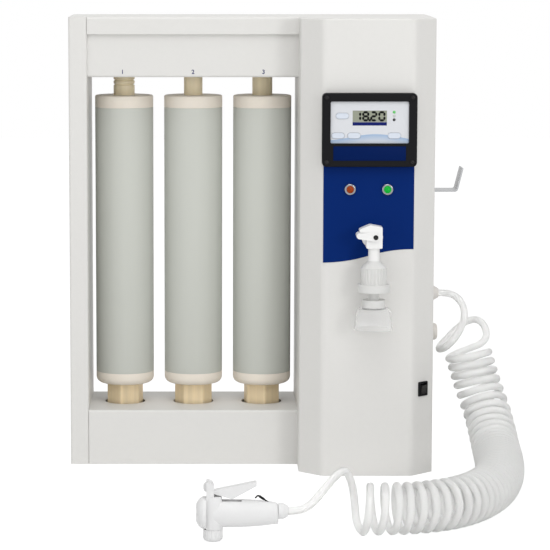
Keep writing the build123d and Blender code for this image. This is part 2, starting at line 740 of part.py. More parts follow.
def lamp_rings():
    """Chrome rings of the two pilot lamps, with their barrels through the cover."""
    flange = fillet(rod(LAMP_RING_D, LAMP_RING_T).edges().group_by(Axis.Z)[-1], LAMP_RING_T / 3)
    bezel = flange + Pos(0, 0, -LAMP_BARREL_L) * rod(LAMP_BARREL_D, LAMP_BARREL_L)
    bezel -= Pos(0, 0, LAMP_RING_T - LAMP_LENS_L) * rod(LAMP_LENS_D, LAMP_LENS_L + CUT)
    return Compound(children=[lamp_place(side) * bezel for side in (-1, 1)])


def lamp_lens(side):
    """Domed lens in the ring of a pilot lamp."""
    radius = LAMP_LENS_D / 2 - PRESS
    dome = make_face([
        *Polyline((0, LAMP_LENS_L + LAMP_CROWN), (0, 0), (radius, 0), (radius, LAMP_LENS_L)).edges(),
        TangentArc((0, LAMP_LENS_L + LAMP_CROWN), (radius, LAMP_LENS_L), tangent=(1, 0))])
    return lamp_place(side) * Pos(0, 0, LAMP_RING_T - LAMP_LENS_L) * revolve(Plane.XZ * dome, Axis.Z)


# Outlet


def outlet_valve():
    """Valve block with its sloped hood over the lever, spout below and stem through the cover."""
    half = VALVE_W / 2
    top = VALVE_Z + VALVE_H
    notch = top - HOOD_DROP - HOOD_T
    hood = -half - HOOD_REACH
    points = [(-half, VALVE_Z), (-half, notch), (hood, notch), (hood, top - HOOD_DROP), (-half / 2, top),
              (half, top - HOOD_DROP / 2), (half, VALVE_Z)]
    body = extrude(make_face(Polyline(*points, close=True)), VALVE_D / 2, both=True)
    body = fillet(body.edges().filter_by(Axis.Z), VALVE_EDGE_R)
    stem_l = OUTLET_REACH + STEM_BACK
    seat = Pos(0, STEM_Z, -stem_l)
    body += seat * (rod(STEM_D, stem_l) + Pos(0, 0, STEM_BACK) * rod(STEM_FLANGE_D, STEM_FLANGE_T))
    spout = Rot(90, 0, 0) * rod(SPOUT_D, SPOUT_L + VALVE_EDGE_R)
    body += Pos(0, VALVE_Z + VALVE_EDGE_R, 0) * spout
    body -= Pos(PIVOT_OFF, PIVOT_Z, 0) * rod(PIVOT_D + 2 * PRESS, VALVE_D)
    return OUTLET * body


def outlet_lever():
    """Lever: a cheek in front of the valve block, on the pin, and the thumb bar at the block's left."""
    hub = LEVER_HUB_D / 2
    tip = LEVER_TIP_H / 2
    far = Pos(tip - LEVER_REACH, LEVER_TIP_RISE) * Circle(tip)
    arm = make_hull([*Circle(hub).edges(), *far.edges()])
    cheek_z = VALVE_D / 2 + FIT
    lever = Pos(0, 0, -VALVE_D / 2) * extrude(arm, VALVE_D / 2 + cheek_z + LEVER_CHEEK_T)
    behind = (Align.MIN, Align.CENTER, Align.MAX)
    gap = Box(2 * LEVER_REACH, 2 * LEVER_REACH, VALVE_D + cheek_z, align=behind)
    lever -= Pos(LEVER_BAR - LEVER_REACH, 0, cheek_z) * gap
    lever -= Pos(0, 0, cheek_z - CUT) * rod(PIVOT_D + 2 * PIN_GAP, LEVER_CHEEK_T + 2 * CUT)
    return OUTLET * Pos(PIVOT_OFF, PIVOT_Z, 0) * lever


def outlet_lever_pin():
    """Headed pin of the lever, held in the valve block."""
    head_z = VALVE_D / 2 + FIT + LEVER_CHEEK_T + FIT
    head = fillet(rod(PIVOT_HEAD_D, PIVOT_HEAD_T).edges().group_by(Axis.Z)[-1], PIVOT_HEAD_T / 2)
    pin = rod(PIVOT_D, head_z) + Pos(0, 0, head_z) * head
    return OUTLET * Pos(PIVOT_OFF, PIVOT_Z, 0) * pin


def final_filter():
    """Capsule filter: shoulder, ribbed drum, flange, waist and foot, turned about the outlet."""
    shoulder_z = SPOUT_Z - FILTER_SHOULDER_H
    flange_z = shoulder_z - FILTER_H
    waist_z = flange_z - FILTER_FLANGE_H
    foot_z = waist_z - FILTER_WAIST_H
    drum, flange, waist, foot = (d / 2 for d in (FILTER_D, FILTER_FLANGE_D, FILTER_WAIST_D, FILTER_FOOT_D))
    body = turned([
        (0, SPOUT_Z), (SPOUT_D / 2, SPOUT_Z), (drum, shoulder_z), (drum, flange_z), (flange, flange_z),
        (flange, waist_z), (waist, waist_z), (waist, foot_z), (foot, foot_z), (foot, FILTER_LOW_Z),
        (0, FILTER_LOW_Z)])
    groove = Pos(0, 0, flange_z) * rod(FILTER_RIB_D, FILTER_H)
    body -= [Rot(0, 0, rib * 360 / FILTER_RIBS) * Pos(drum, 0, 0) * groove for rib in range(FILTER_RIBS)]
    return Pos(OUTLET_X, OUTLET_Y, 0) * body


def filter_bell():
    """Clear bell that hangs from the foot of the filter, open below."""
    outer = turned([(0, 0), (BELL_LOW_D / 2, 0), (BELL_TOP_D / 2, BELL_H), (0, BELL_H)])
    outer = fillet(outer.edges().group_by(Axis.Z)[-1], BELL_CROWN_R)
    inner = turned([
        (0, -CUT), (BELL_LOW_D / 2 - BELL_WALL, -CUT), (BELL_LOW_D / 2 - BELL_WALL, 0),
        (BELL_TOP_D / 2 - BELL_WALL, BELL_H - BELL_WALL), (0, BELL_H - BELL_WALL)])
    inner = fillet(inner.edges().group_by(Axis.Z)[-1], BELL_CROWN_R - BELL_WALL)
    return Pos(OUTLET_X, OUTLET_Y, FILTER_LOW_Z - BELL_H) * (outer - inner)


# Power switch


def switch_frame():
    """Black frame of the rocker switch, with its body behind the facet."""
    rim = slab(SWITCH_W, SWITCH_H, SWITCH_R, SWITCH_T)
    rim = fillet(rim.faces().sort_by(Axis.Z)[-1].edges(), SWITCH_T / 4)
    body = Pos(0, 0, -SWITCH_DEPTH) * block(SWITCH_W - SWITCH_RIM, SWITCH_H - SWITCH_RIM, SWITCH_DEPTH)
    frame = rim + body
    well = ROCKER_DEPTH + ROCKER_ROOM
    mouth = block(ROCKER_W + 2 * FIT, ROCKER_H + 2 * ROCKER_DISH, well + SWITCH_T + CUT)
    frame -= Pos(0, 0, -well) * mouth
    axle = Rot(0, 90, 0) * Cylinder(ROCKER_AXLE_D / 2 + PIN_GAP, SWITCH_W - 2 * SWITCH_RIM + 2 * SWITCH_R)
    return SWITCH_FACE * (frame - axle)


def power_rocker():
    """Dished rocker on a cross axle, resting with one end down."""
    half = ROCKER_H / 2
    foot = half - ROCKER_DISH
    face = SWITCH_T + ROCKER_PROUD
    edge = face - ROCKER_DISH / 2
    profile = make_face([
        *Polyline((half, edge), (foot, -ROCKER_DEPTH), (-foot, -ROCKER_DEPTH), (-half, edge)).edges(),
        ThreePointArc((-half, edge), (0, face - ROCKER_DISH), (half, edge))])
    rocker = extrude(Plane.YZ * profile, ROCKER_W / 2, both=True)
    rocker += Rot(0, 90, 0) * Cylinder(ROCKER_AXLE_D / 2, SWITCH_W - 2 * SWITCH_RIM)
    return SWITCH_FACE * Rot(ROCKER_TILT, 0, 0) * rocker


# Hook and ports on the right side


def hose_hook():
    """Bent strip: a tab on the side wall, a shelf and an upright that leans out."""
    lean = math.radians(HOOK_LEAN)
    shelf_z = HOOK_Z + HOOK_T / 2
    wall = RIGHT_X + HOOK_T / 2
    out = RIGHT_X + HOOK_REACH
    path = FilletPolyline(
        (wall, shelf_z - HOOK_TAB), (wall, shelf_z), (out, shelf_z),
        (out + HOOK_UP * math.tan(lean), shelf_z + HOOK_UP), radius=HOOK_BEND_R)
    strip = trace(path, HOOK_T)
    return Pos(0, SIDE_Y, 0) * extrude(Plane.XZ * strip, HOOK_W / 2, both=True)


def port_shank():
    """Shank that holds a port in the side wall."""
    return Pos(0, 0, -PORT_SHANK_L) * rod(PORT_SHANK_D, PORT_SHANK_L)


def hose_port():
    """Outlet port whose cone narrows to the hose."""
    cone_z = PORT_COLLAR + PORT_CONE
    collar, nose = PORT_D / 2, PORT_NOSE_D / 2
    port = turned([(0, 0), (collar, 0), (collar, PORT_COLLAR), (nose, cone_z), (0, cone_z)])
    return SIDE * Pos(0, HOSE_PORT_Z, 0) * (port + port_shank())


def feed_port():
    """Push-fit port for the feed tube, with a round nose."""
    port = fillet(rod(PORT_D, FEED_L).edges().group_by(Axis.Z)[-1], FEED_ROUND_R) + port_shank()
    port -= Pos(0, 0, FEED_L - FEED_BORE_L) * rod(FEED_BORE_D, FEED_BORE_L + CUT)
    return SIDE * Pos(0, FEED_PORT_Z, 0) * port


# Hose: the lead from the port, the curls, and the tail that rises over a last loop to the gun

LEAD_ROUTE = [
    (283, -54, 229), (291.5, -62, 218), (293, -72, 203), (286, -81, 186), (274, -85, 170), (263, -79, 160),
    (257.5, -66, 157.5), (262, -53, 161.5), (274, -40, 171), (289, -34, 185), (303, -33, 193.5),
    (314.5, -42, 195.5), (322, -57, 188.5), (324, -68.5, 175.5)]
COIL_ROUTE = [
    (294, -102, 161), (306, -106, 120), (321, -127, 76), (326, -172, 41), (325, -226, 32.4),
    (316, -306, 32.4), (300, -376, 32.4), (274, -434, 32.4), (240, -476, 32.4), (198, -500, 32.4),
    (150, -507, 32.4), (128, -507.5, 32.4)]
TAIL_ROUTE = [
    (122.2, -473.5, 12.5), (121.5, -469, 25.5), (119.5, -471, 43), (115, -479, 64), (107, -493, 78),
    (95.5, -512, 75), (83, -525, 63), (73, -531, 52), (63, -533.5, 42)]


def route_radii(points):
    """The largest radius that each corner's two runs allow."""
    radii = []
    for before, corner, after in zip(points, points[1:], points[2:]):
        first, second = corner - before, after - corner
        turn = math.radians(first.get_angle(second))
        radii.append(RUN_SHARE * min(first.length, second.length) / math.tan(turn / 2))
    return radii


def rounded_route(name, points):
    """Straight runs joined by tangent arcs through the points, with the radii printed."""
    points = [Vector(*p) for p in points]
    radii = route_radii(points)
    print(name, "radii", [round(r, 1) for r in radii])
    return FilletPolyline(*points, radius=radii)


class Curls:
    """The helix of the hose about its route: places and directions along the route's length."""

    def __init__(self, route):
        self.route = route
        self.length = route.length
        self.count = round(self.length)
        self.frames = self.carried_frames()
        self.turns = self.turns_along()

    def at_length(self, s):
        """Point and direction of the route at a length from its start."""
        return (self.route.position_at(s, position_mode=PositionMode.LENGTH),
                self.route.tangent_at(s, position_mode=PositionMode.LENGTH))

    def carried_frames(self):
        """Frames carried along the route without twist, from the side that faces the cabinet's back."""
        frames = []
        across = Vector(0, 1, 0)
        for step in range(self.count + 1):
            place, along = self.at_length(self.length * step / self.count)
            across = (across - along * across.dot(along)).normalized()
            frames.append((place, across, along.cross(across), along))
        return frames

    def pitch_at(self, step):
        """Advance per turn: close on straight runs, wider round bends and where the curls hang loose."""
        reach = round(COIL_R / 2)
        first, last = max(step - reach, 0), min(step + reach, self.count)
        turn = (self.frames[last][3] - self.frames[first][3]).length
        bend = turn / (last - first) * self.count / self.length
        s = self.length * step / self.count
        to_end = self.length - s
        loosen = 1.0
        if s < COIL_OPEN_L:
            loosen = 1 + (COIL_OPEN_SHARE - 1) * min(1, 2 * (1 - s / COIL_OPEN_L))
        if to_end < COIL_LOOSE_L:
            loosen = 1 + (COIL_LOOSE_SHARE - 1) * min(1, 2 * (1 - to_end / COIL_LOOSE_L))
        return loosen * (HOSE_D + COIL_GAP) / (1 - COIL_R * bend)

    def turns_along(self):
        """Turns made up to each step, stretched a little so that the last curl ends at the floor."""
        step_l = self.length / self.count
        turns = [0.0]
        for step in range(self.count):
            turns.append(turns[-1] + step_l / self.pitch_at(step))
        _, across, aside, _ = self.frames[-1]
        floor_turn = math.atan2(aside.Z, -across.Z) / math.tau
        wanted = math.floor(turns[-1] - floor_turn) + floor_turn
        return [t * wanted / turns[-1] for t in turns]

    def point(self, step):
        """Middle of the hose at a step of the route, whole or part."""
        low = min(int(step), self.count - 1)
        part = step - low
        mixed = [a * (1 - part) + b * part for a, b in zip(self.frames[low], self.frames[low + 1])]
        turn = self.turns[low] * (1 - part) + self.turns[low + 1] * part
        angle = -math.tau * turn
        return mixed[0] + mixed[1] * (COIL_R * math.cos(angle)) + mixed[2] * (COIL_R * math.sin(angle))

    def knot(self, step):
        """Point and direction of the hose at a step."""
        nudge = 1 / (4 * STEPS_PER_TURN)
        ahead = self.point(min(step + nudge, self.count))
        behind = self.point(max(step - nudge, 0))
        return self.point(step), (ahead - behind).normalized()

    def knots(self):
        """The knots of the hose, STEPS_PER_TURN in a turn, the ends included."""
        marks = math.floor(self.turns[-1] * STEPS_PER_TURN)
        steps = [0.0]
        for mark in range(1, marks + 1):
            turn = mark / STEPS_PER_TURN
            low = next(i for i in range(self.count) if self.turns[i + 1] >= turn)
            steps.append(low + (turn - self.turns[low]) / (self.turns[low + 1] - self.turns[low]))
        if self.count - steps[-1] > 1:
            steps.append(float(self.count))
        else:
            steps[-1] = float(self.count)
        return [self.knot(step) for step in steps]

    def least_gap(self):
        """Least gap of the hose to itself, measured on points of neighbouring turns."""
        total = int(self.turns[-1] * MARKS_PER_TURN)
        steps, low = [], 0
        for mark in range(total):
            turn = mark / MARKS_PER_TURN
            while self.turns[low + 1] < turn:
                low += 1
            steps.append(low + (turn - self.turns[low]) / (self.turns[low + 1] - self.turns[low]))
        points = [self.point(step) for step in steps]
        near = range(MARKS_PER_TURN * 2 // 3, MARKS_PER_TURN * 4 // 3)
        return min((b - a).length for j in near for a, b in zip(points, points[j:])) - HOSE_D


def biarc(start, start_way, end, end_way):
    """Two tangent arcs from one knot to the next."""
    chord, ways = end - start, start_way + end_way
    spread = 2 * (1 - start_way.dot(end_way))
    along = chord.dot(ways)
    reach = (math.sqrt(along * along + spread * chord.dot(chord)) - along) / spread
    first, second = start + start_way * reach, end - end_way * reach
    middle = (first + second) * (1 / 2)
    return [TangentArc(start, middle, tangent=start_way), TangentArc(middle, end, tangent=second - first)]


def hose_along(name, path, start, way):
    """The hose swept along a path, with its volume compared with section times length."""
    tube = sweep(Plane(origin=start, z_dir=way) * Circle(HOSE_D / 2), path=path)
    share = tube.volume / (math.pi * HOSE_D ** 2 / 4 * path.length)
    print(name, "length", round(path.length, 1), "volume share", round(share, 4))
    return tube


def hose_pieces():
    """Lead, curls and tail of the hose, which meet end to end."""
    axis = rounded_route("coil axis", COIL_ROUTE)
    curls = Curls(axis)
    knots = curls.knots()
    print("curls", round(curls.turns[-1], 2), "least gap", round(curls.least_gap(), 2))
    (first, first_way), (last, last_way) = knots[0], knots[-1]
    head, foot = first - first_way * HOSE_D, last + last_way * HOSE_D
    edges = [Line(head, first)]
    for (a, a_way), (b, b_way) in zip(knots, knots[1:]):
        edges += biarc(a, a_way, b, b_way)
    edges.append(Line(last, foot))
    coil = hose_along("coil", Wire(edges), head, first_way)
    out = Vector(HOSE_STRAIGHT, 0, 0)
    lead_points = [HOSE_START, HOSE_START + out, *LEAD_ROUTE, head - first_way * HOSE_STRAIGHT, head]
    lead = hose_along("lead", rounded_route("lead", lead_points), HOSE_START, (1, 0, 0))
    tail_points = [foot, foot + last_way * HOSE_STRAIGHT, *TAIL_ROUTE, HOSE_END + out, HOSE_END]
    tail = hose_along("tail", rounded_route("tail", tail_points), foot, last_way)
    return lead, coil, tail


# Dispensing gun


def gun_grip():
    """Lofted grip from the head to the hose nut."""
    sections = []
    for share, width, height in ((0.0, GRIP_ROOT_W, GRIP_ROOT_H), (GRIP_MID_SHARE, GRIP_MID_W, GRIP_MID_H),
                                 (1.0, GRIP_END_W, GRIP_END_H)):
        plane = Plane(origin=(share * GRIP_REACH, GRIP_Z, 0), x_dir=(0, 0, 1), z_dir=(1, 0, 0))
        sections.append(plane * Ellipse(width / 2, height / 2))
    grip = loft(sections)
    return fillet(grip.faces().sort_by(Axis.X)[-1].edges(), GRIP_END_R)


def gun_lip():
    """Rib under the grip that runs out to a small lip."""
    low = GRIP_Z - GRIP_ROOT_H / 2
    root = HEAD_D / 2
    points = [(root, low), (GRIP_REACH, low + LIP_H / 2), (GRIP_REACH, low + LIP_H), (root, GRIP_Z)]
    return extrude(make_face(Polyline(*points, close=True)), LIP_T / 2, both=True)


def gun_ear():
    """One ear of the lever's hinge, on the head."""
    ear = Pos(EAR_X, EAR_Z) * Circle(EAR_D / 2)
    foot = Pos(EAR_X, EAR_Z - EAR_FOOT / 2) * Rectangle(EAR_D, EAR_FOOT)
    return extrude(ear + foot, EAR_T)


def gun_body():
    """Head, grip and hinge ears as one moulding, with the lever's pocket and the flow knob's stem."""
    low = KNOB_H + FIT
    waist_z = low + HEAD_H * HEAD_WAIST_SHARE
    barrel = make_face([
        *Polyline((0, low + HEAD_H), (0, low), (HEAD_TOP_D / 2, low)).edges(),
        ThreePointArc((HEAD_TOP_D / 2, low), (HEAD_D / 2, waist_z), (HEAD_TOP_D / 2, low + HEAD_H)),
        Line((HEAD_TOP_D / 2, low + HEAD_H), (0, low + HEAD_H))])
    head = Rot(-90, 0, 0) * revolve(Plane.XZ * barrel, Axis.Z)
    body = head + gun_grip() + gun_lip()
    ear_z = TRIGGER_W / 2 + POCKET_GAP
    body += Pos(0, 0, ear_z) * gun_ear()
    body += Pos(0, 0, -ear_z - EAR_T) * gun_ear()
    pocket = Box(POCKET_REACH + EAR_D, 2 * EAR_Z, 2 * ear_z, align=(Align.MIN, Align.MIN, Align.CENTER))
    body -= Pos(EAR_X - EAR_D, POCKET_DEPTH_Z, 0) * pocket
    body -= Pos(EAR_X, EAR_Z, -EAR_Z) * rod(TRIGGER_PIN_D + 2 * PRESS, 2 * EAR_Z)
    seat = Box(HEAD_D, 2 * EAR_Z, HEAD_D + EAR_T, align=(Align.MAX, Align.CENTER, Align.CENTER))
    body -= Pos(-DISC_SEAT, DISC_Z - DISC_D / 2, 0) * seat
    body -= Pos(WIRE_PIVOT_X, WIRE_PIVOT_Z, -GRIP_ROOT_W) * rod(
        WIRE_PIN_D + 2 * FIT, GRIP_ROOT_W + WIRE_PIN_L / 2 + FIT)
    slot = Box(WIRE_SLOT_L, GRIP_ROOT_H, WIRE_D + 2 * POCKET_GAP, align=(Align.MAX, Align.MIN, Align.CENTER))
    body -= Pos(WIRE_PIVOT_X + WIRE_SLOT_BACK, WIRE_PIVOT_Z - WIRE_PIN_D / 2 - POCKET_GAP, 0) * slot
    body -= Pos(GRIP_REACH - GUN_NUT_SHANK_L, GUN_NUT_Z, 0) * Rot(0, 90, 0) * rod(
        GUN_NUT_SHANK_D + 2 * PRESS, GUN_NUT_SHANK_L + CUT)
    body += Pos(0, low, 0) * Rot(90, 0, 0) * rod(KNOB_STEM_D, KNOB_STEM_L)
    return GUN * body


def gun_spray_disc():
    """Domed spray face on the left of the head, with a ring of holes."""
    radius = DISC_D / 2
    dome = make_face([
        *Polyline((0, DISC_RIM + DISC_CROWN), (0, 0), (radius, 0), (radius, DISC_RIM)).edges(),
        ThreePointArc((radius, DISC_RIM), (radius * math.sqrt(3) / 2, DISC_RIM + DISC_CROWN / 2),
                      (radius / 2, DISC_RIM + DISC_CROWN)),
        Line((radius / 2, DISC_RIM + DISC_CROWN), (0, DISC_RIM + DISC_CROWN))])
    disc = revolve(Plane.XZ * dome, Axis.Z)
    hole_z = DISC_RIM + DISC_CROWN - ROSE_HOLE_DEPTH
    hole = Pos(ROSE_RING_D / 2, 0, hole_z) * rod(ROSE_HOLE_D, ROSE_HOLE_DEPTH + CUT)
    disc -= [Rot(0, 0, k * 360 / ROSE_HOLES) * hole for k in range(ROSE_HOLES)]
    return GUN * Pos(-DISC_SEAT, DISC_Z, 0) * Rot(0, -90, 0) * disc


def gun_lever():
    """Wedge lever on the ears' pin, with a heel that works the valve in the pocket."""
    hub = Circle(TRIGGER_HUB_D / 2)
    hub_r = TRIGGER_HUB_D / 2
    tip_z = TRIGGER_RISE - TRIGGER_TIP_H
    points = [(0, 0), (TRIGGER_ROOT, -TRIGGER_ROOT_DROP), (TRIGGER_REACH, TRIGGER_RISE),
              (TRIGGER_REACH, tip_z), (TRIGGER_HEEL, -TRIGGER_HEEL_DROP), (0, -hub_r)]
    wedge = make_face(Polyline(*points, close=True))
    lever = extrude(hub + wedge, TRIGGER_W / 2, both=True)
    tip = lever.edges().filter_by(Axis.Z).group_by(Axis.X)[-1]
    lever = fillet(tip, TRIGGER_EDGE_R)
    lever -= Pos(0, 0, -TRIGGER_W) * rod(TRIGGER_PIN_D + 2 * PIN_GAP, 2 * TRIGGER_W)
    return GUN * Pos(EAR_X, EAR_Z, 0) * lever


def gun_lever_pin():
    """Pin of the lever, held in the two ears."""
    half = TRIGGER_W / 2 + POCKET_GAP + EAR_T
    return GUN * Pos(EAR_X, EAR_Z, -half) * rod(TRIGGER_PIN_D, 2 * half)


def gun_flow_knob():
    """Ribbed knob under the head, on which the gun stands."""
    knob = fillet(rod(KNOB_D, KNOB_H).edges().group_by(Axis.Z)[0], KNOB_ROUND_R)
    rib_z = KNOB_ROUND_R
    groove = Pos(KNOB_D / 2 + KNOB_RIB_D / 4, 0, rib_z) * rod(KNOB_RIB_D, KNOB_H + CUT)
    knob -= [Rot(0, 0, k * 360 / KNOB_RIBS) * groove for k in range(KNOB_RIBS)]
    bore = KNOB_STEM_L + FIT
    knob -= Pos(0, 0, KNOB_H - bore) * rod(KNOB_STEM_D + 2 * PIN_GAP, bore + CUT)
    return Pos(GUN_X, GUN_Y, 0) * knob


def gun_hose_nut():
    """Tapered nut that holds the hose to the grip."""
    shank, body, end = GUN_NUT_SHANK_D / 2, GUN_NUT_D / 2, GUN_NUT_END_D / 2
    nut = turned([
        (0, -GUN_NUT_SHANK_L), (shank, -GUN_NUT_SHANK_L), (shank, 0), (body, 0), (body, GUN_NUT_L / 2),
        (end, GUN_NUT_L), (0, GUN_NUT_L)])
    return GUN * Pos(GRIP_REACH, GUN_NUT_Z, 0) * Rot(0, 90, 0) * nut


def gun_lock_wire():
    """Wire catch for the squeezed lever, hooked at its end, on a cross pin in the grip's slot."""
    bend = Vector(-WIRE_REACH, WIRE_RISE)
    path = FilletPolyline(
        (0, 0), (bend.X, bend.Y), (bend.X - WIRE_HOOK, bend.Y - WIRE_HOOK), radius=WIRE_BEND_R)
    wire = sweep(Plane(origin=(0, 0, 0), z_dir=bend) * Circle(WIRE_D / 2), path=path)
    wire += Pos(0, 0, -WIRE_PIN_L / 2) * rod(WIRE_PIN_D, WIRE_PIN_L)
    return GUN * Pos(WIRE_PIVOT_X, WIRE_PIVOT_Z, 0) * wire


# Inside the cabinet


def circulation_pump():
    """Finned motor with its pump head, on a foot on the cabinet's floor."""
    axis_z = PUMP_FOOT_H + PUMP_D / 2
    motor = Rot(90, 0, 0) * Cylinder(PUMP_D / 2, PUMP_L)
    slot = ring(PUMP_D + CUT, PUMP_D - 2 * PUMP_FIN_D, PUMP_FIN_W)
    step = PUMP_L / (PUMP_FINS + 1)
    motor -= [Pos(0, (k + 1) * step - PUMP_L / 2, 0) * Rot(90, 0, 0) * slot for k in range(PUMP_FINS)]
    head = Rot(90, 0, 0) * rod(PUMP_HEAD_D, PUMP_HEAD_L)
    port = rod(PUMP_PORT_D, PUMP_HEAD_D / 2 + PUMP_PORT_L)
    pump = motor + Pos(0, -PUMP_L / 2, 0) * head + Pos(0, -(PUMP_L + PUMP_HEAD_L) / 2, 0) * port
    foot = Pos(0, 0, -axis_z) * block(PUMP_FOOT_W, PUMP_L / 2, axis_z)
    return Pos(CABINET_X, PUMP_Y, SHEET + axis_z) * (pump + foot)


def power_supply():
    """Ribbed power supply on the cabinet's back wall."""
    box = block(SUPPLY_W, SUPPLY_H, SUPPLY_D)
    gap = SUPPLY_W / (2 * SUPPLY_FINS + 1)
    groove = Pos(0, 0, SUPPLY_D - SUPPLY_FIN_D) * block(gap, SUPPLY_H + 2 * CUT, SUPPLY_FIN_D + CUT)
    box -= [Pos((2 * k + 1 - SUPPLY_FINS) * gap, 0, 0) * groove for k in range(SUPPLY_FINS)]
    return Plane(origin=(CABINET_X, BACK_Y - SHEET, SUPPLY_Z), x_dir=(1, 0, 0), z_dir=(0, -1, 0)) * box


def control_board():
    """Circuit board on posts behind the cover, with its main parts."""
    board = Pos(0, 0, POST_L) * block(BOARD_W, BOARD_H, BOARD_T)
    for spot in GridLocations(BOARD_W - 2 * POST_INSET, BOARD_H - 2 * POST_INSET, 2, 2):
        board += spot * rod(POST_D, POST_L)
    top = POST_L + BOARD_T
    board += Pos(-BOARD_W / 4, BOARD_H / 5, top) * block(CHIP_SIZE, CHIP_SIZE, CHIP_T)
    for k in (-1, 0, 1):
        board += Pos(BOARD_W / 4, k * BOARD_H / 4, top) * block(RELAY_W, RELAY_W, RELAY_T)
    inside = Plane(origin=(CABINET_X, BACK_Y - SHEET, BOARD_Z + BOARD_H), x_dir=(1, 0, 0), z_dir=(0, -1, 0))
    return inside * board


def solenoid_valve():
    """Solenoid valve on a foot on the cabinet's back wall."""
    valve = block(SOLENOID_L, SOLENOID_BODY, SOLENOID_BODY + SOLENOID_FOOT_T)
    valve += Pos(0, 0, SOLENOID_BODY + SOLENOID_FOOT_T) * rod(SOLENOID_COIL_D, SOLENOID_COIL_H)
    valve += block(SOLENOID_L, SOLENOID_BODY + SOLENOID_L / 2, SOLENOID_FOOT_T)
    for side in (-90, 90):
        barb = Rot(0, side, 0) * rod(BARB_D, SOLENOID_L / 2 + BARB_L)
        valve += Pos(0, 0, SOLENOID_FOOT_T + SOLENOID_BODY / 2) * barb
    place = Plane(origin=(CABINET_X, BACK_Y - SHEET, SOLENOID_Z), x_dir=(1, 0, 0), z_dir=(0, -1, 0))
    return place * valve


def resistivity_cell():
    """Measuring cell on the back end of the outlet's stem."""
    cell = extrude(RegularPolygon(CELL_HEX / 2, HEX_SIDES, major_radius=False), CELL_HEX_L)
    cell += rod(CELL_D, CELL_L)
    back = Plane(origin=(OUTLET_X, COVER_Y + STEM_BACK, STEM_Z), x_dir=(1, 0, 0), z_dir=(0, 1, 0))
    return back * cell


def mains_inlet():
    """Three-pin mains inlet in the cabinet's back wall."""
    inlet = slab(INLET_W, INLET_H, BEND_R, INLET_T)
    inlet += Pos(0, 0, -INLET_BODY_D) * block(INLET_BODY_W, INLET_BODY_H, INLET_BODY_D)
    floor = Pos(0, 0, INLET_T - INLET_SOCKET_D)
    inlet -= floor * block(INLET_SOCKET_W, INLET_SOCKET_H, INLET_SOCKET_D + CUT)
    pin = floor * block(INLET_PIN_W, INLET_PIN_H, INLET_SOCKET_D - INLET_T)
    for k in (-1, 0, 1):
        inlet += Pos(k * INLET_PIN_PITCH, 0, 0) * pin
    back = Plane(origin=(CABINET_X - INLET_OFF, BACK_Y, INLET_Z), x_dir=(-1, 0, 0), z_dir=(0, 1, 0))
    return back * inlet


def all_nodes():
    """Every sub-part by its name."""
    nodes = {
        "left_upright": left_upright(), "header_shell": header_shell(), "base_shell": base_shell(),
        "base_pan": base_pan(), "cabinet_shell": cabinet_shell(), "back_panel": back_panel(),
        "front_cover": front_cover(), "front_overlay": front_overlay(), "meter_bezel": meter_bezel(),
        "meter_face": meter_face(), "meter_lcd": meter_lcd(), "meter_leds": meter_leds(),
        "lamp_rings": lamp_rings(), "amber_lens": lamp_lens(-1), "green_lens": lamp_lens(1),
        "outlet_valve": outlet_valve(), "outlet_lever": outlet_lever(), "final_filter": final_filter(),
        "filter_bell": filter_bell(),
        "steel_fasteners": Compound(children=[outlet_lever_pin(), gun_lever_pin(), *meter_screws()]),
        "switch_frame": switch_frame(), "power_rocker": power_rocker(),
        "hose_hook": hose_hook(), "hose_port": hose_port(), "feed_port": feed_port(),
        "gun_body": gun_body(), "gun_spray_disc": gun_spray_disc(), "gun_lever": gun_lever(),
        "gun_flow_knob": gun_flow_knob(), "gun_hose_nut": gun_hose_nut(), "gun_lock_wire": gun_lock_wire(),
        "circulation_pump": circulation_pump(), "power_supply": power_supply(),
        "control_board": control_board(), "solenoid_valve": solenoid_valve(),
        "resistivity_cell": resistivity_cell(), "mains_inlet": mains_inlet(),
    }
    for key in range(len(KEY_X)):
        nodes[f"meter_key_{key + 1}"] = meter_key(key)
    for bay, x in enumerate(CARTRIDGE_X):
        name = f"cartridge_{bay + 1}"
        nodes[f"{name}_tube"] = Pos(x, 0, 0) * cartridge_tube()
        nodes[f"{name}_top_cap"] = Pos(x, 0, 0) * cartridge_top_cap(bay)
        nodes[f"{name}_o_rings"] = cartridge_o_rings(x)
        nodes[f"{name}_low_cap"] = Pos(x, 0, 0) * cartridge_low_cap()
        nodes[f"{name}_union_nut"] = Pos(x, 0, 0) * union_nut(bay)
    nodes["bay_sockets"] = Compound(
        children=[socket(bay) for socket in (head_socket, base_port) for bay in range(BAYS)])
    nodes["hose_lead"], nodes["hose_coil"], nodes["hose_tail"] = hose_pieces()
    return nodes


os.makedirs("parts", exist_ok=True)
for node, shape in all_nodes().items():
    export_step(shape, f"parts/{node}.step")
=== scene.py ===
"""Looks of a laboratory water purifier: finishes, modelled pieces, hose, light and camera.

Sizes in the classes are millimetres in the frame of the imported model: +Z up, the front faces -Y.
Meshes are scaled to metres when they become pieces.
"""

import logging
import math
from dataclasses import dataclass, field
from enum import Enum
from functools import cache
from typing import Callable, Iterable, Optional, Sequence

import bmesh
import bpy
from mathutils import Matrix, Vector

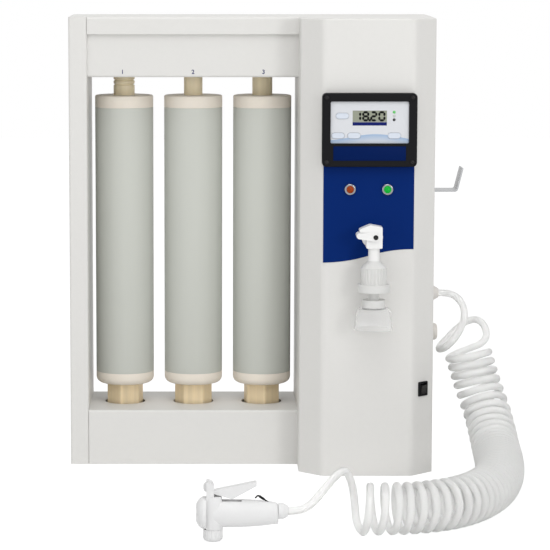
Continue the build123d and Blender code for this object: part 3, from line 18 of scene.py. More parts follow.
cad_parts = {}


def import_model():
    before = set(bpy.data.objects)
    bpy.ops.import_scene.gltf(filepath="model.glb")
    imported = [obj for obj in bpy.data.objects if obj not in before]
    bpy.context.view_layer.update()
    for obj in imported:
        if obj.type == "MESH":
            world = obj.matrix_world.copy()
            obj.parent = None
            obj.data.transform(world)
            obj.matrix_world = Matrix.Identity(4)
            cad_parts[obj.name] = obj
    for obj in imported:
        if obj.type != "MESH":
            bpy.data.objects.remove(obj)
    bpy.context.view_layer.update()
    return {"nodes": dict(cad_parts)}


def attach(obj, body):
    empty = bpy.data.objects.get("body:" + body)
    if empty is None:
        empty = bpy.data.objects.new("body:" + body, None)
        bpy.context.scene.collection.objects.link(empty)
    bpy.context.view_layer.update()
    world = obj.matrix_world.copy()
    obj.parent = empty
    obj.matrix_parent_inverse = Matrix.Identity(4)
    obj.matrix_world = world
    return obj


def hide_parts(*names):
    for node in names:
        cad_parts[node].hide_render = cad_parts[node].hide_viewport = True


LOG = logging.getLogger("purifier")
MM = 0.001
UNIT = "unit"
Point = tuple[float, float, float]
Pair = tuple[float, float]
Color = tuple[int, int, int]
Edge = bmesh.types.BMEdge
Socket = bpy.types.NodeSocket
Nodes = dict[str, bpy.types.Object]
Sockets = tuple[tuple[str, object], ...]

# Places of the three cartridges' axes, thickness of a printed film, and sides of a nut.
BAY_X = (-172.5, -77.5, 17.5)
FILM = 0.12
HEX = 6


def linear(red: int, green: int, blue: int) -> tuple[float, float, float, float]:
    """Turns a display colour of 0 to 255 into the shader's colour.

    Args:
        red: Red of the display colour.
        green: Green of the display colour.
        blue: Blue of the display colour.

    Returns:
        The linear colour with an alpha of 1.
    """
    shares = (value / 255 for value in (red, green, blue))
    scene = (s / 12.92 if s <= 0.04045 else ((s + 0.055) / 1.055) ** 2.4 for s in shares)
    return (*scene, 1.0)


class Tree:
    """A node tree with short calls to add and join nodes."""

    def __init__(self, tree: bpy.types.NodeTree) -> None:
        """Keeps the tree, emptied of its nodes."""
        self.tree = tree
        self.tree.nodes.clear()

    def add(self, kind: str, values: Optional[dict] = None, **settings: object) -> bpy.types.Node:
        """Adds a node.

        Args:
            kind: The node's type.
            values: Input values, by the name or number of the socket.
            settings: The node's own settings.

        Returns:
            The new node.
        """
        node = self.tree.nodes.new(kind)
        for name, value in settings.items():
            setattr(node, name, value)
        for name, value in (values or {}).items():
            node.inputs[name].default_value = value
        return node

    def join(self, source: Socket, target: Socket) -> None:
        """Links an output to an input."""
        self.tree.links.new(source, target)

    def math(self, operation: str, first: object, second: object) -> Socket:
        """Adds a sum of two values, each a socket or a number.

        Args:
            operation: The name of the sum.
            first: The first value.
            second: The second value.

        Returns:
            The output socket.
        """
        node = self.add("ShaderNodeMath", operation=operation)
        for socket, value in zip(node.inputs, (first, second)):
            if isinstance(value, Socket):
                self.join(value, socket)
            else:
                socket.default_value = value
        return node.outputs[0]


class Effects:
    """The shader node groups that several finishes share, each built once."""

    RELIEF = "Surface relief"
    HANDLING = "Handling marks"

    @staticmethod
    def start(name: str, inputs: dict[str, str], outputs: dict[str, str]) -> tuple[Tree, dict, dict]:
        """Starts a group with its named sockets.

        Args:
            name: Name of the group.
            inputs: Input names with their socket kinds.
            outputs: Output names with their socket kinds.

        Returns:
            The tree, the group's input sockets and its output sockets, by name.
        """
        group = bpy.data.node_groups.new(name, "ShaderNodeTree")
        for label, kind in inputs.items():
            group.interface.new_socket(label, in_out="INPUT", socket_type="NodeSocket" + kind)
        for label, kind in outputs.items():
            group.interface.new_socket(label, in_out="OUTPUT", socket_type="NodeSocket" + kind)
        tree = Tree(group)
        source = tree.add("NodeGroupInput")
        sink = tree.add("NodeGroupOutput")
        return tree, source.outputs, sink.inputs

    @staticmethod
    def stretched(tree: Tree, place: Socket, stretch: Socket) -> Socket:
        """Draws the coordinates of a pattern out along the grain.

        Args:
            tree: The group's tree.
            place: The coordinates.
            stretch: Their factor along each axis.

        Returns:
            The drawn coordinates.
        """
        drawn = tree.add("ShaderNodeVectorMath", operation="MULTIPLY")
        tree.join(place, drawn.inputs[0])
        tree.join(stretch, drawn.inputs[1])
        return drawn.outputs[0]

    @classmethod
    def relief(cls) -> bpy.types.NodeTree:
        """Makes the fine relief of a surface: grain, orange peel or drawn streaks.

        Returns:
            The group, built on the first call.
        """
        if cls.RELIEF in bpy.data.node_groups:
            return bpy.data.node_groups[cls.RELIEF]
        tree, given, out = cls.start(
            cls.RELIEF, {"Scale": "Float", "Stretch": "Vector", "Wave": "Float"}, {"Height": "Float"})
        place = tree.add("ShaderNodeTexCoord").outputs["Object"]
        fine = tree.add("ShaderNodeTexNoise", {"Detail": 3.0, "Roughness": 0.55})
        tree.join(cls.stretched(tree, place, given["Stretch"]), fine.inputs["Vector"])
        tree.join(given["Scale"], fine.inputs["Scale"])
        broad = tree.add("ShaderNodeTexNoise", {"Scale": 7.0, "Detail": 1.0})
        tree.join(place, broad.inputs["Vector"])
        waves = tree.math("MULTIPLY", broad.outputs["Fac"], given["Wave"])
        tree.join(tree.math("ADD", fine.outputs["Fac"], waves), out["Height"])
        return tree.tree

    @classmethod
    def handling(cls) -> bpy.types.NodeTree:
        """Makes the uneven tone, drawn with the grain, and the wiped patches of a used surface.

        Returns:
            The group, built on the first call.
        """
        if cls.HANDLING in bpy.data.node_groups:
            return bpy.data.node_groups[cls.HANDLING]
        tree, given, out = cls.start(
            cls.HANDLING,
            {"Color": "Color", "Tone": "Float", "Roughness": "Float", "Wipe": "Float", "Stretch": "Vector"},
            {"Color": "Color", "Roughness": "Float"})
        place = tree.add("ShaderNodeTexCoord").outputs["Object"]
        clouds = tree.add("ShaderNodeTexNoise", {"Scale": 11.0, "Detail": 4.0, "Roughness": 0.6})
        tree.join(place, clouds.inputs["Vector"])
        specks = tree.add("ShaderNodeTexNoise", {"Scale": 160.0, "Detail": 2.0})
        tree.join(cls.stretched(tree, place, given["Stretch"]), specks.inputs["Vector"])
        mottle = tree.math("MULTIPLY", clouds.outputs["Fac"], specks.outputs["Fac"])
        shade = tree.math("MULTIPLY", mottle, given["Tone"])
        light = tree.math("SUBTRACT", 1.0, shade)
        toned = tree.add("ShaderNodeVectorMath", operation="SCALE")
        tree.join(given["Color"], toned.inputs[0])
        tree.join(light, toned.inputs["Scale"])
        tree.join(toned.outputs[0], out["Color"])
        swing = tree.math("MULTIPLY", tree.math("SUBTRACT", clouds.outputs["Fac"], 0.5), given["Wipe"])
        tree.join(tree.math("ADD", given["Roughness"], swing), out["Roughness"])
        return tree.tree


class Drawn(Enum):
    """The way in which a surface's fine relief runs."""

    EVEN = (1.0, 1.0, 1.0)
    ALONG_Y = (1.0, 0.03, 1.0)
    ALONG_Z = (1.0, 1.0, 0.03)


@dataclass(frozen=True)
class Finish:
    """A finish of the object: colour, gloss and fine relief.

    Attributes:
        name: Name of the material.
        color: Display colour, 0 to 255.
        roughness: Roughness of the surface.
        tone: Depth of the uneven tone.
        wipe: Swing of the roughness between wiped patches.
        grain: Relief features in a metre.
        depth: Height of the relief in millimetres.
        wave: Share of broad unevenness in the relief.
        drawn: The way in which the relief runs.
        sockets: Plain values of the shader's own sockets.
    """

    name: str
    color: Color
    roughness: float
    tone: float = 0.06
    wipe: float = 0.08
    grain: float = 700.0
    depth: float = 0.01
    wave: float = 0.0
    drawn: Drawn = Drawn.EVEN
    sockets: Sockets = ()

    @cache
    def material(self) -> bpy.types.Material:
        """Builds the material once.

        Returns:
            The material.
        """
        made = bpy.data.materials.new(self.name)
        made.use_nodes = True
        tree = Tree(made.node_tree)
        shader = tree.add("ShaderNodeBsdfPrincipled", dict(self.sockets))
        tree.join(shader.outputs[0], tree.add("ShaderNodeOutputMaterial").inputs["Surface"])
        stretch = self.drawn.value
        marks = tree.add(
            "ShaderNodeGroup",
            {"Tone": self.tone, "Roughness": self.roughness, "Wipe": self.wipe, "Stretch": stretch},
            node_tree=Effects.handling())
        self.paint(tree, marks.inputs["Color"])
        tree.join(marks.outputs["Color"], shader.inputs["Base Color"])
        tree.join(marks.outputs["Roughness"], shader.inputs["Roughness"])
        relief = tree.add(
            "ShaderNodeGroup", {"Scale": self.grain, "Stretch": stretch, "Wave": self.wave},
            node_tree=Effects.relief())
        bump = tree.add("ShaderNodeBump", {"Strength": 1.0, "Distance": self.depth * MM})
        tree.join(relief.outputs["Height"], bump.inputs["Height"])
        tree.join(bump.outputs["Normal"], shader.inputs["Normal"])
        return made

    def paint(self, tree: Tree, target: Socket) -> None:
        """Gives the colour to the marks' group."""
        target.default_value = linear(*self.color)


@dataclass(frozen=True)
class PrintedFace(Finish):
    """A white face with a plain blue band along its foot.

    Attributes:
        band: Display colour of the band.
        edge_z: Height of the band's edge in millimetres.
        swell: Rise and fall of the edge in millimetres.
        swell_length: Length of one rise and fall in millimetres.
        soften: Height over which the band fades downwards, in millimetres.
        faded: Share of the band's colour that is left at its foot.
    """

    band: Color = (152, 177, 207)
    edge_z: float = 455.0
    swell: float = 4.0
    swell_length: float = 130.0
    soften: float = 9.0
    faded: float = 0.25

    def paint(self, tree: Tree, target: Socket) -> None:
        """Mixes the band's colour in below a long, low curve.

        Args:
            tree: The material's tree.
            target: The socket that takes the colour.
        """
        axes = tree.add("ShaderNodeSeparateXYZ")
        tree.join(tree.add("ShaderNodeTexCoord").outputs["Object"], axes.inputs[0])
        turn = tree.math("MULTIPLY", axes.outputs["X"], math.tau / (self.swell_length * MM))
        curve = tree.math("MULTIPLY", tree.math("SINE", turn, 0.0), self.swell * MM)
        above = tree.math("SUBTRACT", axes.outputs["Z"], tree.math("ADD", curve, self.edge_z * MM))
        fade = tree.add(
            "ShaderNodeMapRange", {"From Min": -self.soften * MM, "From Max": 0.0, "To Min": self.faded})
        tree.join(above, fade.inputs["Value"])
        below = tree.math("LESS_THAN", above, 0.0)
        mix = tree.add("ShaderNodeMix", {"A": linear(*self.color), "B": linear(*self.band)}, data_type="RGBA")
        tree.join(tree.math("MULTIPLY", fade.outputs[0], below), mix.inputs["Factor"])
        tree.join(mix.outputs["Result"], target)


def soft(share: float, red: float, green: float, blue: float) -> Sockets:
    """Gives the sockets of a plastic that takes light in: its share, and its reach in metres by colour."""
    return ("Subsurface Weight", share), ("Subsurface Radius", (red, green, blue))


def see_through(share: float, index: float) -> Sockets:
    """Gives the sockets of a plastic that is seen through, by its share and its index of refraction."""
    return ("Transmission Weight", share), ("IOR", index)


def lit(red: int, green: int, blue: int, strength: float) -> Sockets:
    """Gives the sockets of a lens with a faint light behind it, by its display colour and strength."""
    return ("Emission Color", linear(red, green, blue)), ("Emission Strength", strength)


MATTE: Sockets = (("Specular IOR Level", 0.3),)
DULL: Sockets = (("Specular IOR Level", 0.12),)
FLAT: Sockets = (("Specular IOR Level", 0.04),)
METAL: Sockets = (("Metallic", 1.0),)
COATED: Sockets = (("Coat Weight", 0.3),)

CASING = Finish("casing_powder_coat", (219, 218, 215), roughness=0.5, tone=0.05, wipe=0.1, grain=520.0,
                depth=0.012, wave=0.4, sockets=MATTE)
OVERLAY = Finish("overlay_film", (4, 38, 104), roughness=0.5, tone=0.08, wipe=0.06, grain=1500.0,
                 depth=0.004, sockets=FLAT)
STRIP = Finish("strip_plate_film", (2, 27, 80), roughness=0.5, tone=0.06, wipe=0.05, grain=1500.0,
               depth=0.003, sockets=FLAT)
BLACK = Finish("black_moulding", (14, 14, 17), roughness=0.42, tone=0.15, wipe=0.1, grain=1400.0,
               depth=0.02, sockets=DULL)
FACE = PrintedFace("meter_face_print", (211, 213, 217), roughness=0.4, tone=0.03, wipe=0.05, grain=1500.0,
                   depth=0.003, sockets=MATTE)
KEYS = Finish("key_membrane", (208, 215, 226), roughness=0.42, tone=0.05, wipe=0.05, grain=1400.0,
              depth=0.004, sockets=MATTE)
DISPLAY = Finish("display_glass", (150, 154, 138), roughness=0.2, tone=0.05, wipe=0.03, grain=900.0,
                 depth=0.001, sockets=DULL)
DIGITS = Finish("display_digits", (12, 13, 12), roughness=0.4, tone=0.05, wipe=0.02, sockets=DULL)
PRINT = Finish("navy_print", (16, 28, 96), roughness=0.55, tone=0.08, wipe=0.04, sockets=DULL)
LED_GREEN = Finish("led_green", (92, 186, 96), roughness=0.25, tone=0.1, wipe=0.04, sockets=COATED)
LED_PALE = Finish("led_pale", (186, 190, 188), roughness=0.25, tone=0.1, wipe=0.04, sockets=COATED)
LED_DARK = Finish("led_dark", (34, 36, 38), roughness=0.25, tone=0.1, wipe=0.04, sockets=COATED)
WHITE = Finish("white_polypropylene", (234, 234, 233), roughness=0.4, tone=0.05, wipe=0.08, grain=900.0,
               depth=0.008, wave=0.3, sockets=soft(0.12, 0.004, 0.004, 0.004))
PORT = Finish("port_polymer", (222, 218, 213), roughness=0.42, tone=0.08, wipe=0.08, grain=900.0,
              depth=0.008, wave=0.3, sockets=soft(0.12, 0.004, 0.004, 0.003))
FROST = Finish("frosted_capsule", (230, 230, 228), roughness=0.4, tone=0.05, wipe=0.08, grain=900.0,
               depth=0.008, wave=0.3,
               sockets=(*soft(0.3, 0.006, 0.006, 0.006), *see_through(0.15, 1.3), *MATTE))
STEEL = Finish("brushed_steel", (172, 173, 175), roughness=0.36, tone=0.1, wipe=0.12, grain=1300.0,
               depth=0.01, drawn=Drawn.ALONG_Y, sockets=METAL)
BLACKENED = Finish("blackened_steel", (30, 29, 30), roughness=0.4, tone=0.15, wipe=0.1, grain=900.0,
                   depth=0.006, sockets=(("Metallic", 0.6),))
CHROME = Finish("lamp_ring_chrome", (150, 152, 156), roughness=0.14, tone=0.04, wipe=0.06, grain=500.0,
                depth=0.002, sockets=METAL)
AMBER = Finish("amber_lens", (150, 58, 6), roughness=0.22, tone=0.3, wipe=0.03, grain=300.0, depth=0.05,
               sockets=(*lit(236, 110, 20, 0.03), *DULL))
GREEN = Finish("green_lens", (6, 172, 50), roughness=0.22, tone=0.3, wipe=0.03, grain=300.0, depth=0.05,
               sockets=(*lit(40, 230, 96, 0.05), *DULL))
CLEAR = Finish("clear_bell", (252, 252, 252), roughness=0.1, tone=0.03, wipe=0.05, grain=500.0, depth=0.004,
               sockets=see_through(0.88, 1.09))
TUBE_GREY = Finish("tube_polymer", (196, 198, 191), roughness=0.55, tone=0.05, wipe=0.08, grain=900.0,
                   depth=0.012, wave=0.2, drawn=Drawn.ALONG_Z, sockets=MATTE)
CREAM = Finish("cap_polymer", (230, 222, 210), roughness=0.55, tone=0.07, wipe=0.08, grain=900.0,
               depth=0.01, wave=0.2, sockets=(*soft(0.1, 0.005, 0.004, 0.003), *MATTE))
TAN = Finish("nut_polymer", (250, 229, 190), roughness=0.5, tone=0.55, wipe=0.1, grain=800.0, depth=0.016,
             wave=0.3, drawn=Drawn.ALONG_Z, sockets=(*soft(0.12, 0.005, 0.004, 0.002), *MATTE))
# Necks: the nuts' tan polymer, less saturated like the real necks, and painted lighter still to offset the
# shade that the header casts on them.
NECK_TAN_AND_PAINTED_LIGHT = Finish("neck_tan_and_painted_light", (250, 236, 203), roughness=0.5, tone=0.45, wipe=0.1, grain=800.0, depth=0.012,
              wave=0.3, drawn=Drawn.ALONG_Z, sockets=(*soft(0.12, 0.005, 0.004, 0.002), *MATTE))
RUBBER = Finish("seal_rubber", (20, 20, 21), roughness=0.62, tone=0.15, wipe=0.1, grain=900.0, depth=0.01)
HOSE_PU = Finish("hose_translucent", (247, 247, 246), roughness=0.34, tone=0.06, wipe=0.08, grain=260.0,
                 depth=0.02, wave=0.2, sockets=(*soft(0.5, 0.008, 0.008, 0.008), *see_through(0.5, 1.2)))
GUN_NYLON = Finish("gun_nylon", (225, 225, 225), roughness=0.48, tone=0.06, wipe=0.1, grain=900.0,
                   depth=0.014, wave=0.3, sockets=(*soft(0.15, 0.005, 0.005, 0.005), *MATTE))
ROCKER = Finish("rocker_moulding", (30, 28, 27), roughness=0.4, tone=0.15, wipe=0.1, grain=1400.0,
                depth=0.02, sockets=MATTE)
WIRE = Finish("wire_lacquer", (14, 14, 15), roughness=0.4, tone=0.1, wipe=0.06, sockets=DULL)
PUMP = Finish("motor_paint", (44, 50, 56), roughness=0.5, tone=0.15, wipe=0.1, grain=700.0, depth=0.02)
SUPPLY = Finish("supply_aluminium", (178, 180, 184), roughness=0.4, tone=0.1, wipe=0.1, grain=1200.0,
                depth=0.01, drawn=Drawn.ALONG_Z, sockets=METAL)
BOARD = Finish("board_lacquer", (22, 84, 48), roughness=0.35, tone=0.2, wipe=0.1, grain=600.0, depth=0.01)
BRASS = Finish("brass_casting", (186, 156, 92), roughness=0.34, tone=0.12, wipe=0.1, grain=900.0,
               depth=0.01, sockets=METAL)


class Workpiece:
    """A mesh in the making, in millimetres, shaped with bmesh operators.

    Attributes:
        MERGED: Distance up to which doubles are merged.
        SHARP: Fold in degrees past which an edge is shaded sharp.
        bm: The mesh.
    """

    MERGED = 1e-4
    SHARP = 32.0

    def __init__(self) -> None:
        """Starts with an empty mesh."""
        self.bm = bmesh.new()

    def wire(self, points: Iterable[Point], closed: bool = False) -> list:
        """Adds a line of edges.

        Args:
            points: The points along it.
            closed: Whether the last point joins the first.

        Returns:
            Its vertices and edges.
        """
        verts = [self.bm.verts.new(point) for point in points]
        pairs = list(zip(verts, verts[1:])) + ([(verts[-1], verts[0])] if closed else [])
        return verts + [self.bm.edges.new(pair) for pair in pairs]

    def turn(self, profile: Sequence[Pair], steps: int = 72, closed: bool = False) -> "Workpiece":
        """Spins a profile about Z.

        Args:
            profile: Points of radius and height.
            steps: Faces round the axis.
            closed: Whether the profile is a ring.

        Returns:
            The workpiece.
        """
        line = self.wire(((radius, 0.0, z) for radius, z in profile), closed)
        bmesh.ops.spin(
            self.bm, geom=line, axis=(0, 0, 1), cent=(0, 0, 0), angle=math.tau, steps=steps, use_merge=True)
        return self.clean()

    def plate(self, outline: Sequence[Pair], thickness: float) -> "Workpiece":
        """Raises a plate from an outline in the XY plane.

        Args:
            outline: Points of the outline, in order.
            thickness: Height of the plate.

        Returns:
            The workpiece.
        """
        verts = [self.bm.verts.new((x, y, 0.0)) for x, y in outline]
        face = self.bm.faces.new(verts)
        raised = bmesh.ops.extrude_face_region(self.bm, geom=[face])["geom"]
        top = [item for item in raised if isinstance(item, bmesh.types.BMVert)]
        bmesh.ops.translate(self.bm, verts=top, vec=(0, 0, thickness))
        return self.clean()

    def block(self, width: float, depth: float, height: float) -> "Workpiece":
        """Adds a box that stands on the XY plane, its middle on the Z axis."""
        x, y = width / 2, depth / 2
        return self.plate([(-x, -y), (x, -y), (x, y), (-x, y)], height)

    def soften(self, radius: float, segments: int = 3, sharper_than: float = 30.0,
               where: Callable[[Edge], bool] = lambda edge: True) -> "Workpiece":
        """Rounds the sharp edges.

        Args:
            radius: Size of the rounding.
            segments: Faces across the rounding.
            sharper_than: Least fold of an edge that is rounded, in degrees.
            where: Test that an edge has to pass.

        Returns:
            The workpiece.
        """
        fold = math.radians(sharper_than)
        inner = [edge for edge in self.bm.edges if len(edge.link_faces) == 2]
        sharp = [edge for edge in inner if edge.calc_face_angle() > fold and where(edge)]
        bmesh.ops.bevel(
            self.bm, geom=sharp, offset=radius, offset_type="OFFSET", affect="EDGES", segments=segments,
            profile=0.5, clamp_overlap=True, material=-1)
        return self

    def place(self, matrix: Matrix) -> "Workpiece":
        """Moves the whole workpiece."""
        bmesh.ops.transform(self.bm, matrix=matrix, verts=self.bm.verts)
        return self

    def clean(self) -> "Workpiece":
        """Merges doubles and points the faces outwards.

        Returns:
            The workpiece.
        """
        bmesh.ops.remove_doubles(self.bm, verts=self.bm.verts, dist=self.MERGED)
        bmesh.ops.recalc_face_normals(self.bm, faces=self.bm.faces)
        return self

    def join(self, other: "Workpiece") -> "Workpiece":
        """Takes another workpiece into this one.

        Args:
            other: The workpiece to take in, which is used up.

        Returns:
            The workpiece.
        """
        spare = bpy.data.meshes.new("spare")
        other.bm.to_mesh(spare)
        other.bm.free()
        self.bm.from_mesh(spare)
        bpy.data.meshes.remove(spare)
        return self

    def piece(self, name: str, finish: Finish, body: str, slot: str, *nodes: str) -> bpy.types.Object:
        """Makes the workpiece a piece of the model, in metres.

        Args:
            name: Name of the piece.
            finish: Its finish.
            body: The body that it rides on.
            slot: The record's material slot.
            nodes: The nodes that it stands for.

        Returns:
            The piece.
        """
        bmesh.ops.scale(self.bm, vec=(MM, MM, MM), verts=self.bm.verts)
        mesh = bpy.data.meshes.new(name)
        self.bm.to_mesh(mesh)
        self.bm.free()
        mesh.shade_smooth()
        mesh.set_sharp_from_angle(angle=math.radians(self.SHARP))
        return adopt(bpy.data.objects.new(name, mesh), finish, body, slot, *nodes)


def adopt(piece: bpy.types.Object, finish: Finish, body: str, slot: str, *nodes: str) -> bpy.types.Object:
    """Takes an object into the model.

    Args:
        piece: The object.
        finish: Its finish.
        body: The body that it rides on.
        slot: The record's material slot; not used.
        nodes: The nodes that it stands for.

    Returns:
        The object.
    """
    bpy.context.scene.collection.objects.link(piece)
    piece.data.materials.append(finish.material())
    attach(piece, body)
    if nodes:
        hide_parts(*nodes)
    LOG.info("%s on %s", piece.name, body)
    return piece


def facing_front(x: float, y: float, z: float) -> Matrix:
    """Places a workpiece on a front face.

    Args:
        x: Place along X.
        y: Place of the face.
        z: Height.

    Returns:
        The matrix that turns local X to X, local Y to Z and local Z to -Y.
    """
    return Matrix.Translation((x, y, z)) @ Matrix.Rotation(math.radians(90), 4, "X")


def facing_back(x: float, y: float, z: float) -> Matrix:
    """Places a workpiece on a back face, its local Z turned to +Y."""
    return Matrix.Translation((x, y, z)) @ Matrix.Rotation(math.radians(-90), 4, "X")


def dress(nodes: Nodes, finish: Finish, *names: str) -> None:
    """Gives a finish to nodes that stay as they are.

    Args:
        nodes: The frame's nodes by name.
        finish: The finish.
        names: The nodes' names.
    """
    for name in names:
        for slot in nodes[name].material_slots:
            slot.material = finish.material()
        LOG.info("%s keeps its shape, finish %s", name, finish.name)


@dataclass
class Winding:
    """The axis of the curls.

    Attributes:
        axis: Points along it.
        frames: The two directions across it at each point.
        turns: The turns made up to each point.
    """

    axis: list[Vector]
    frames: list[tuple[Vector, Vector]]
    turns: list[float]

    def at(self, turn: float, radius: float) -> Vector:
        """Gives a point of the curls.

        Args:
            turn: Turns from their start.
            radius: Distance from the axis.

        Returns:
            The point.
        """
        last = len(self.axis) - 1
        high = next((i for i in range(1, last) if self.turns[i] >= turn), last)
        low = high - 1
        part = (turn - self.turns[low]) / (self.turns[high] - self.turns[low])
        middle = self.axis[low].lerp(self.axis[high], part)
        side, rise = (a.lerp(b, part) for a, b in zip(self.frames[low], self.frames[high]))
        angle = -math.tau * turn
        return middle + (side * math.cos(angle) + rise * math.sin(angle)) * radius


@dataclass
class Hose:
    """The hose: its lead from the port, its curls along a route, and its tail to the gun.

    Attributes:
        diameter: Diameter of the hose.
        straight: Length of its straight ends.
        curl_radius: Radius of a curl at the hose's middle.
        gap: Space from one curl to the next.
        open_share: Share by which the first curls open.
        open_length: Length of the axis over which they do.
        loose_share: Share by which the last curls open.
        loose_length: Length of the axis over which they do.
        points_per_turn: Control points in a curl.
        least_step: Share of a step past which the last curl gets one more point.
        nudge: Share of a turn over which a direction is taken.
        axis_fineness: Steps of the axis between two points of the route.
        fineness: Steps of the hose between two control points.
        roundness: Fineness of the hose's round section.
        length: Length of the hose; not used.
        start: Where it leaves the port.
        end: Where it enters the gun's nut.
        lead: Points from the port to the curls.
        route: Points of the curls' axis.
        tail: Points from the curls to the gun.
    """

    diameter: float = 9.5
    straight: float = 13.0
    curl_radius: float = 27.2
    gap: float = 1.0
    open_share: float = 1.06
    open_length: float = 105.0
    loose_share: float = 1.56
    loose_length: float = 48.0
    points_per_turn: int = 12
    least_step: float = 0.3
    nudge: float = 0.01
    axis_fineness: int = 48
    fineness: int = 4
    roundness: int = 8
    length: float = 8385.0
    start: Point = (258, -50, 233.5)
    end: Point = (37.5, -534, 36)
    lead: list[Point] = field(default_factory=lambda: [
        (283, -54, 229), (291.5, -62, 218), (293, -72, 203), (286, -81, 186), (274, -85, 170),
        (263, -79, 160), (257.5, -66, 157.5), (262, -53, 161.5), (274, -40, 171), (289, -34, 185),
        (303, -33, 193.5), (314.5, -42, 195.5), (322, -57, 188.5), (324, -68.5, 175.5)])
    route: list[Point] = field(default_factory=lambda: [
        (294, -102, 161), (306, -106, 120), (321, -127, 76), (326, -172, 41), (325, -226, 32.4),
        (316, -306, 32.4), (300, -376, 32.4), (274, -434, 32.4), (240, -476, 32.4), (198, -500, 32.4),
        (150, -507, 32.4), (128, -507.5, 32.4)])
    tail: list[Point] = field(default_factory=lambda: [
        (122.2, -473.5, 12.5), (121.5, -469, 25.5), (119.5, -471, 43), (115, -479, 64), (107, -493, 78),
        (95.5, -512, 75), (83, -525, 63), (73, -531, 52), (63, -533.5, 42)])

    @staticmethod
    def spline(name: str, points: Sequence[Vector], fineness: int) -> bpy.types.Curve:
        """Makes a smooth curve with the points as its control points.

        Args:
            name: Name of the curve.
            points: The control points in metres.
            fineness: Steps of the curve from one point to the next.

        Returns:
            The curve.
        """
        curve = bpy.data.curves.new(name, "CURVE")
        curve.dimensions = "3D"
        line = curve.splines.new("NURBS")
        line.points.add(len(points) - 1)
        for control, point in zip(line.points, points):
            control.co = (*point, 1.0)
        line.order_u = 3
        line.use_endpoint_u = True
        line.resolution_u = fineness
        return curve

    def axis_points(self) -> list[Vector]:
        """Reads the points of the curls' axis from the route's smooth curve.

        Returns:
            The points in millimetres.
        """
        curve = self.spline("axis", [Vector(point) * MM for point in self.route], self.axis_fineness)
        holder = bpy.data.objects.new("axis", curve)
        mesh = bpy.data.meshes.new_from_object(holder)
        points = [vertex.co / MM for vertex in mesh.vertices]
        bpy.data.meshes.remove(mesh)
        bpy.data.objects.remove(holder)
        bpy.data.curves.remove(curve)
        return points

    def pitch(self, bend: float, done: float, left: float) -> float:
        """Gives the advance of the curls in a turn.

        Args:
            bend: Curvature of the axis.
            done: Length of the axis up to here.
            left: Length of the axis from here on.

        Returns:
            The advance in millimetres.
        """
        loosen = 1.0
        if done < self.open_length:
            loosen = 1 + (self.open_share - 1) * min(1, 2 * (1 - done / self.open_length))
        if left < self.loose_length:
            loosen = 1 + (self.loose_share - 1) * min(1, 2 * (1 - left / self.loose_length))
        return loosen * (self.diameter + self.gap) / (1 - self.curl_radius * bend)

    def winding(self) -> Winding:
        """Works out how far the curls have turned along their axis.

        Returns:
            The axis, its frames and its turns, which end with the hose on the floor.
        """
        axis = self.axis_points()
        along = [(b - a).normalized() for a, b in zip(axis, axis[1:])]
        along.append(along[-1])
        lengths = [0.0]
        for a, b in zip(axis, axis[1:]):
            lengths.append(lengths[-1] + (b - a).length)
        frames, across = [], Vector((0, 1, 0))
        for way in along:
            across = (across - way * across.dot(way)).normalized()
            frames.append((across, way.cross(across)))
        turns, reach, last = [0.0], round(self.curl_radius / 2), len(axis) - 1
        for step in range(last):
            low, high = max(step - reach, 0), min(step + reach, last)
            bend = (along[high] - along[low]).length / (lengths[high] - lengths[low])
            advance = self.pitch(bend, lengths[step], lengths[-1] - lengths[step])
            turns.append(turns[-1] + (lengths[step + 1] - lengths[step]) / advance)
        floor_turn = math.atan2(frames[-1][1].z, -frames[-1][0].z) / math.tau
        whole = math.floor(turns[-1] - floor_turn) + floor_turn
        return Winding(axis, frames, [turn * whole / turns[-1] for turn in turns])

    def curls(self) -> tuple[list[Vector], Vector, Vector]:
        """Winds the curls round their axis.

        Returns:
            The control points, and the hose's directions at the first and last of them.
        """
        winding = self.winding()
        whole, radius = winding.turns[-1], self.curl_radius
        wound = radius / math.cos(math.pi / self.points_per_turn)
        marks = math.floor(whole * self.points_per_turn)
        points = [winding.at(mark / self.points_per_turn, wound) for mark in range(marks + 1)]
        if whole * self.points_per_turn - marks > self.least_step:
            points.append(winding.at(whole, radius))
        first_way = winding.at(self.nudge, radius) - winding.at(0.0, radius)
        last_way = winding.at(whole, radius) - winding.at(whole - self.nudge, radius)
        return points, first_way.normalized(), last_way.normalized()

    def build(self, with_pieces: Sequence[bpy.types.Object]) -> None:
        """Args:
            with_pieces: The pieces on its end; not used.
        """
        curls, first_way, last_way = self.curls()
        out = Vector((self.straight, 0, 0))
        head = curls[0] - first_way * self.diameter
        foot = curls[-1] + last_way * self.diameter
        start, end = Vector(self.start), Vector(self.end)
        points = [
            start, start + out, *map(Vector, self.lead), head - first_way * self.straight, head, *curls, foot,
            foot + last_way * self.straight, *map(Vector, self.tail), end + out, end]
        curve = self.spline("hose", [point * MM for point in points], self.fineness)
        curve.bevel_depth = self.diameter / 2 * MM
        curve.bevel_resolution = self.roundness
        curve.use_fill_caps = True
        hose = bpy.data.objects.new("hose", curve)
        adopt(hose, HOSE_PU, UNIT, "hose", "hose_lead", "hose_coil", "hose_tail")


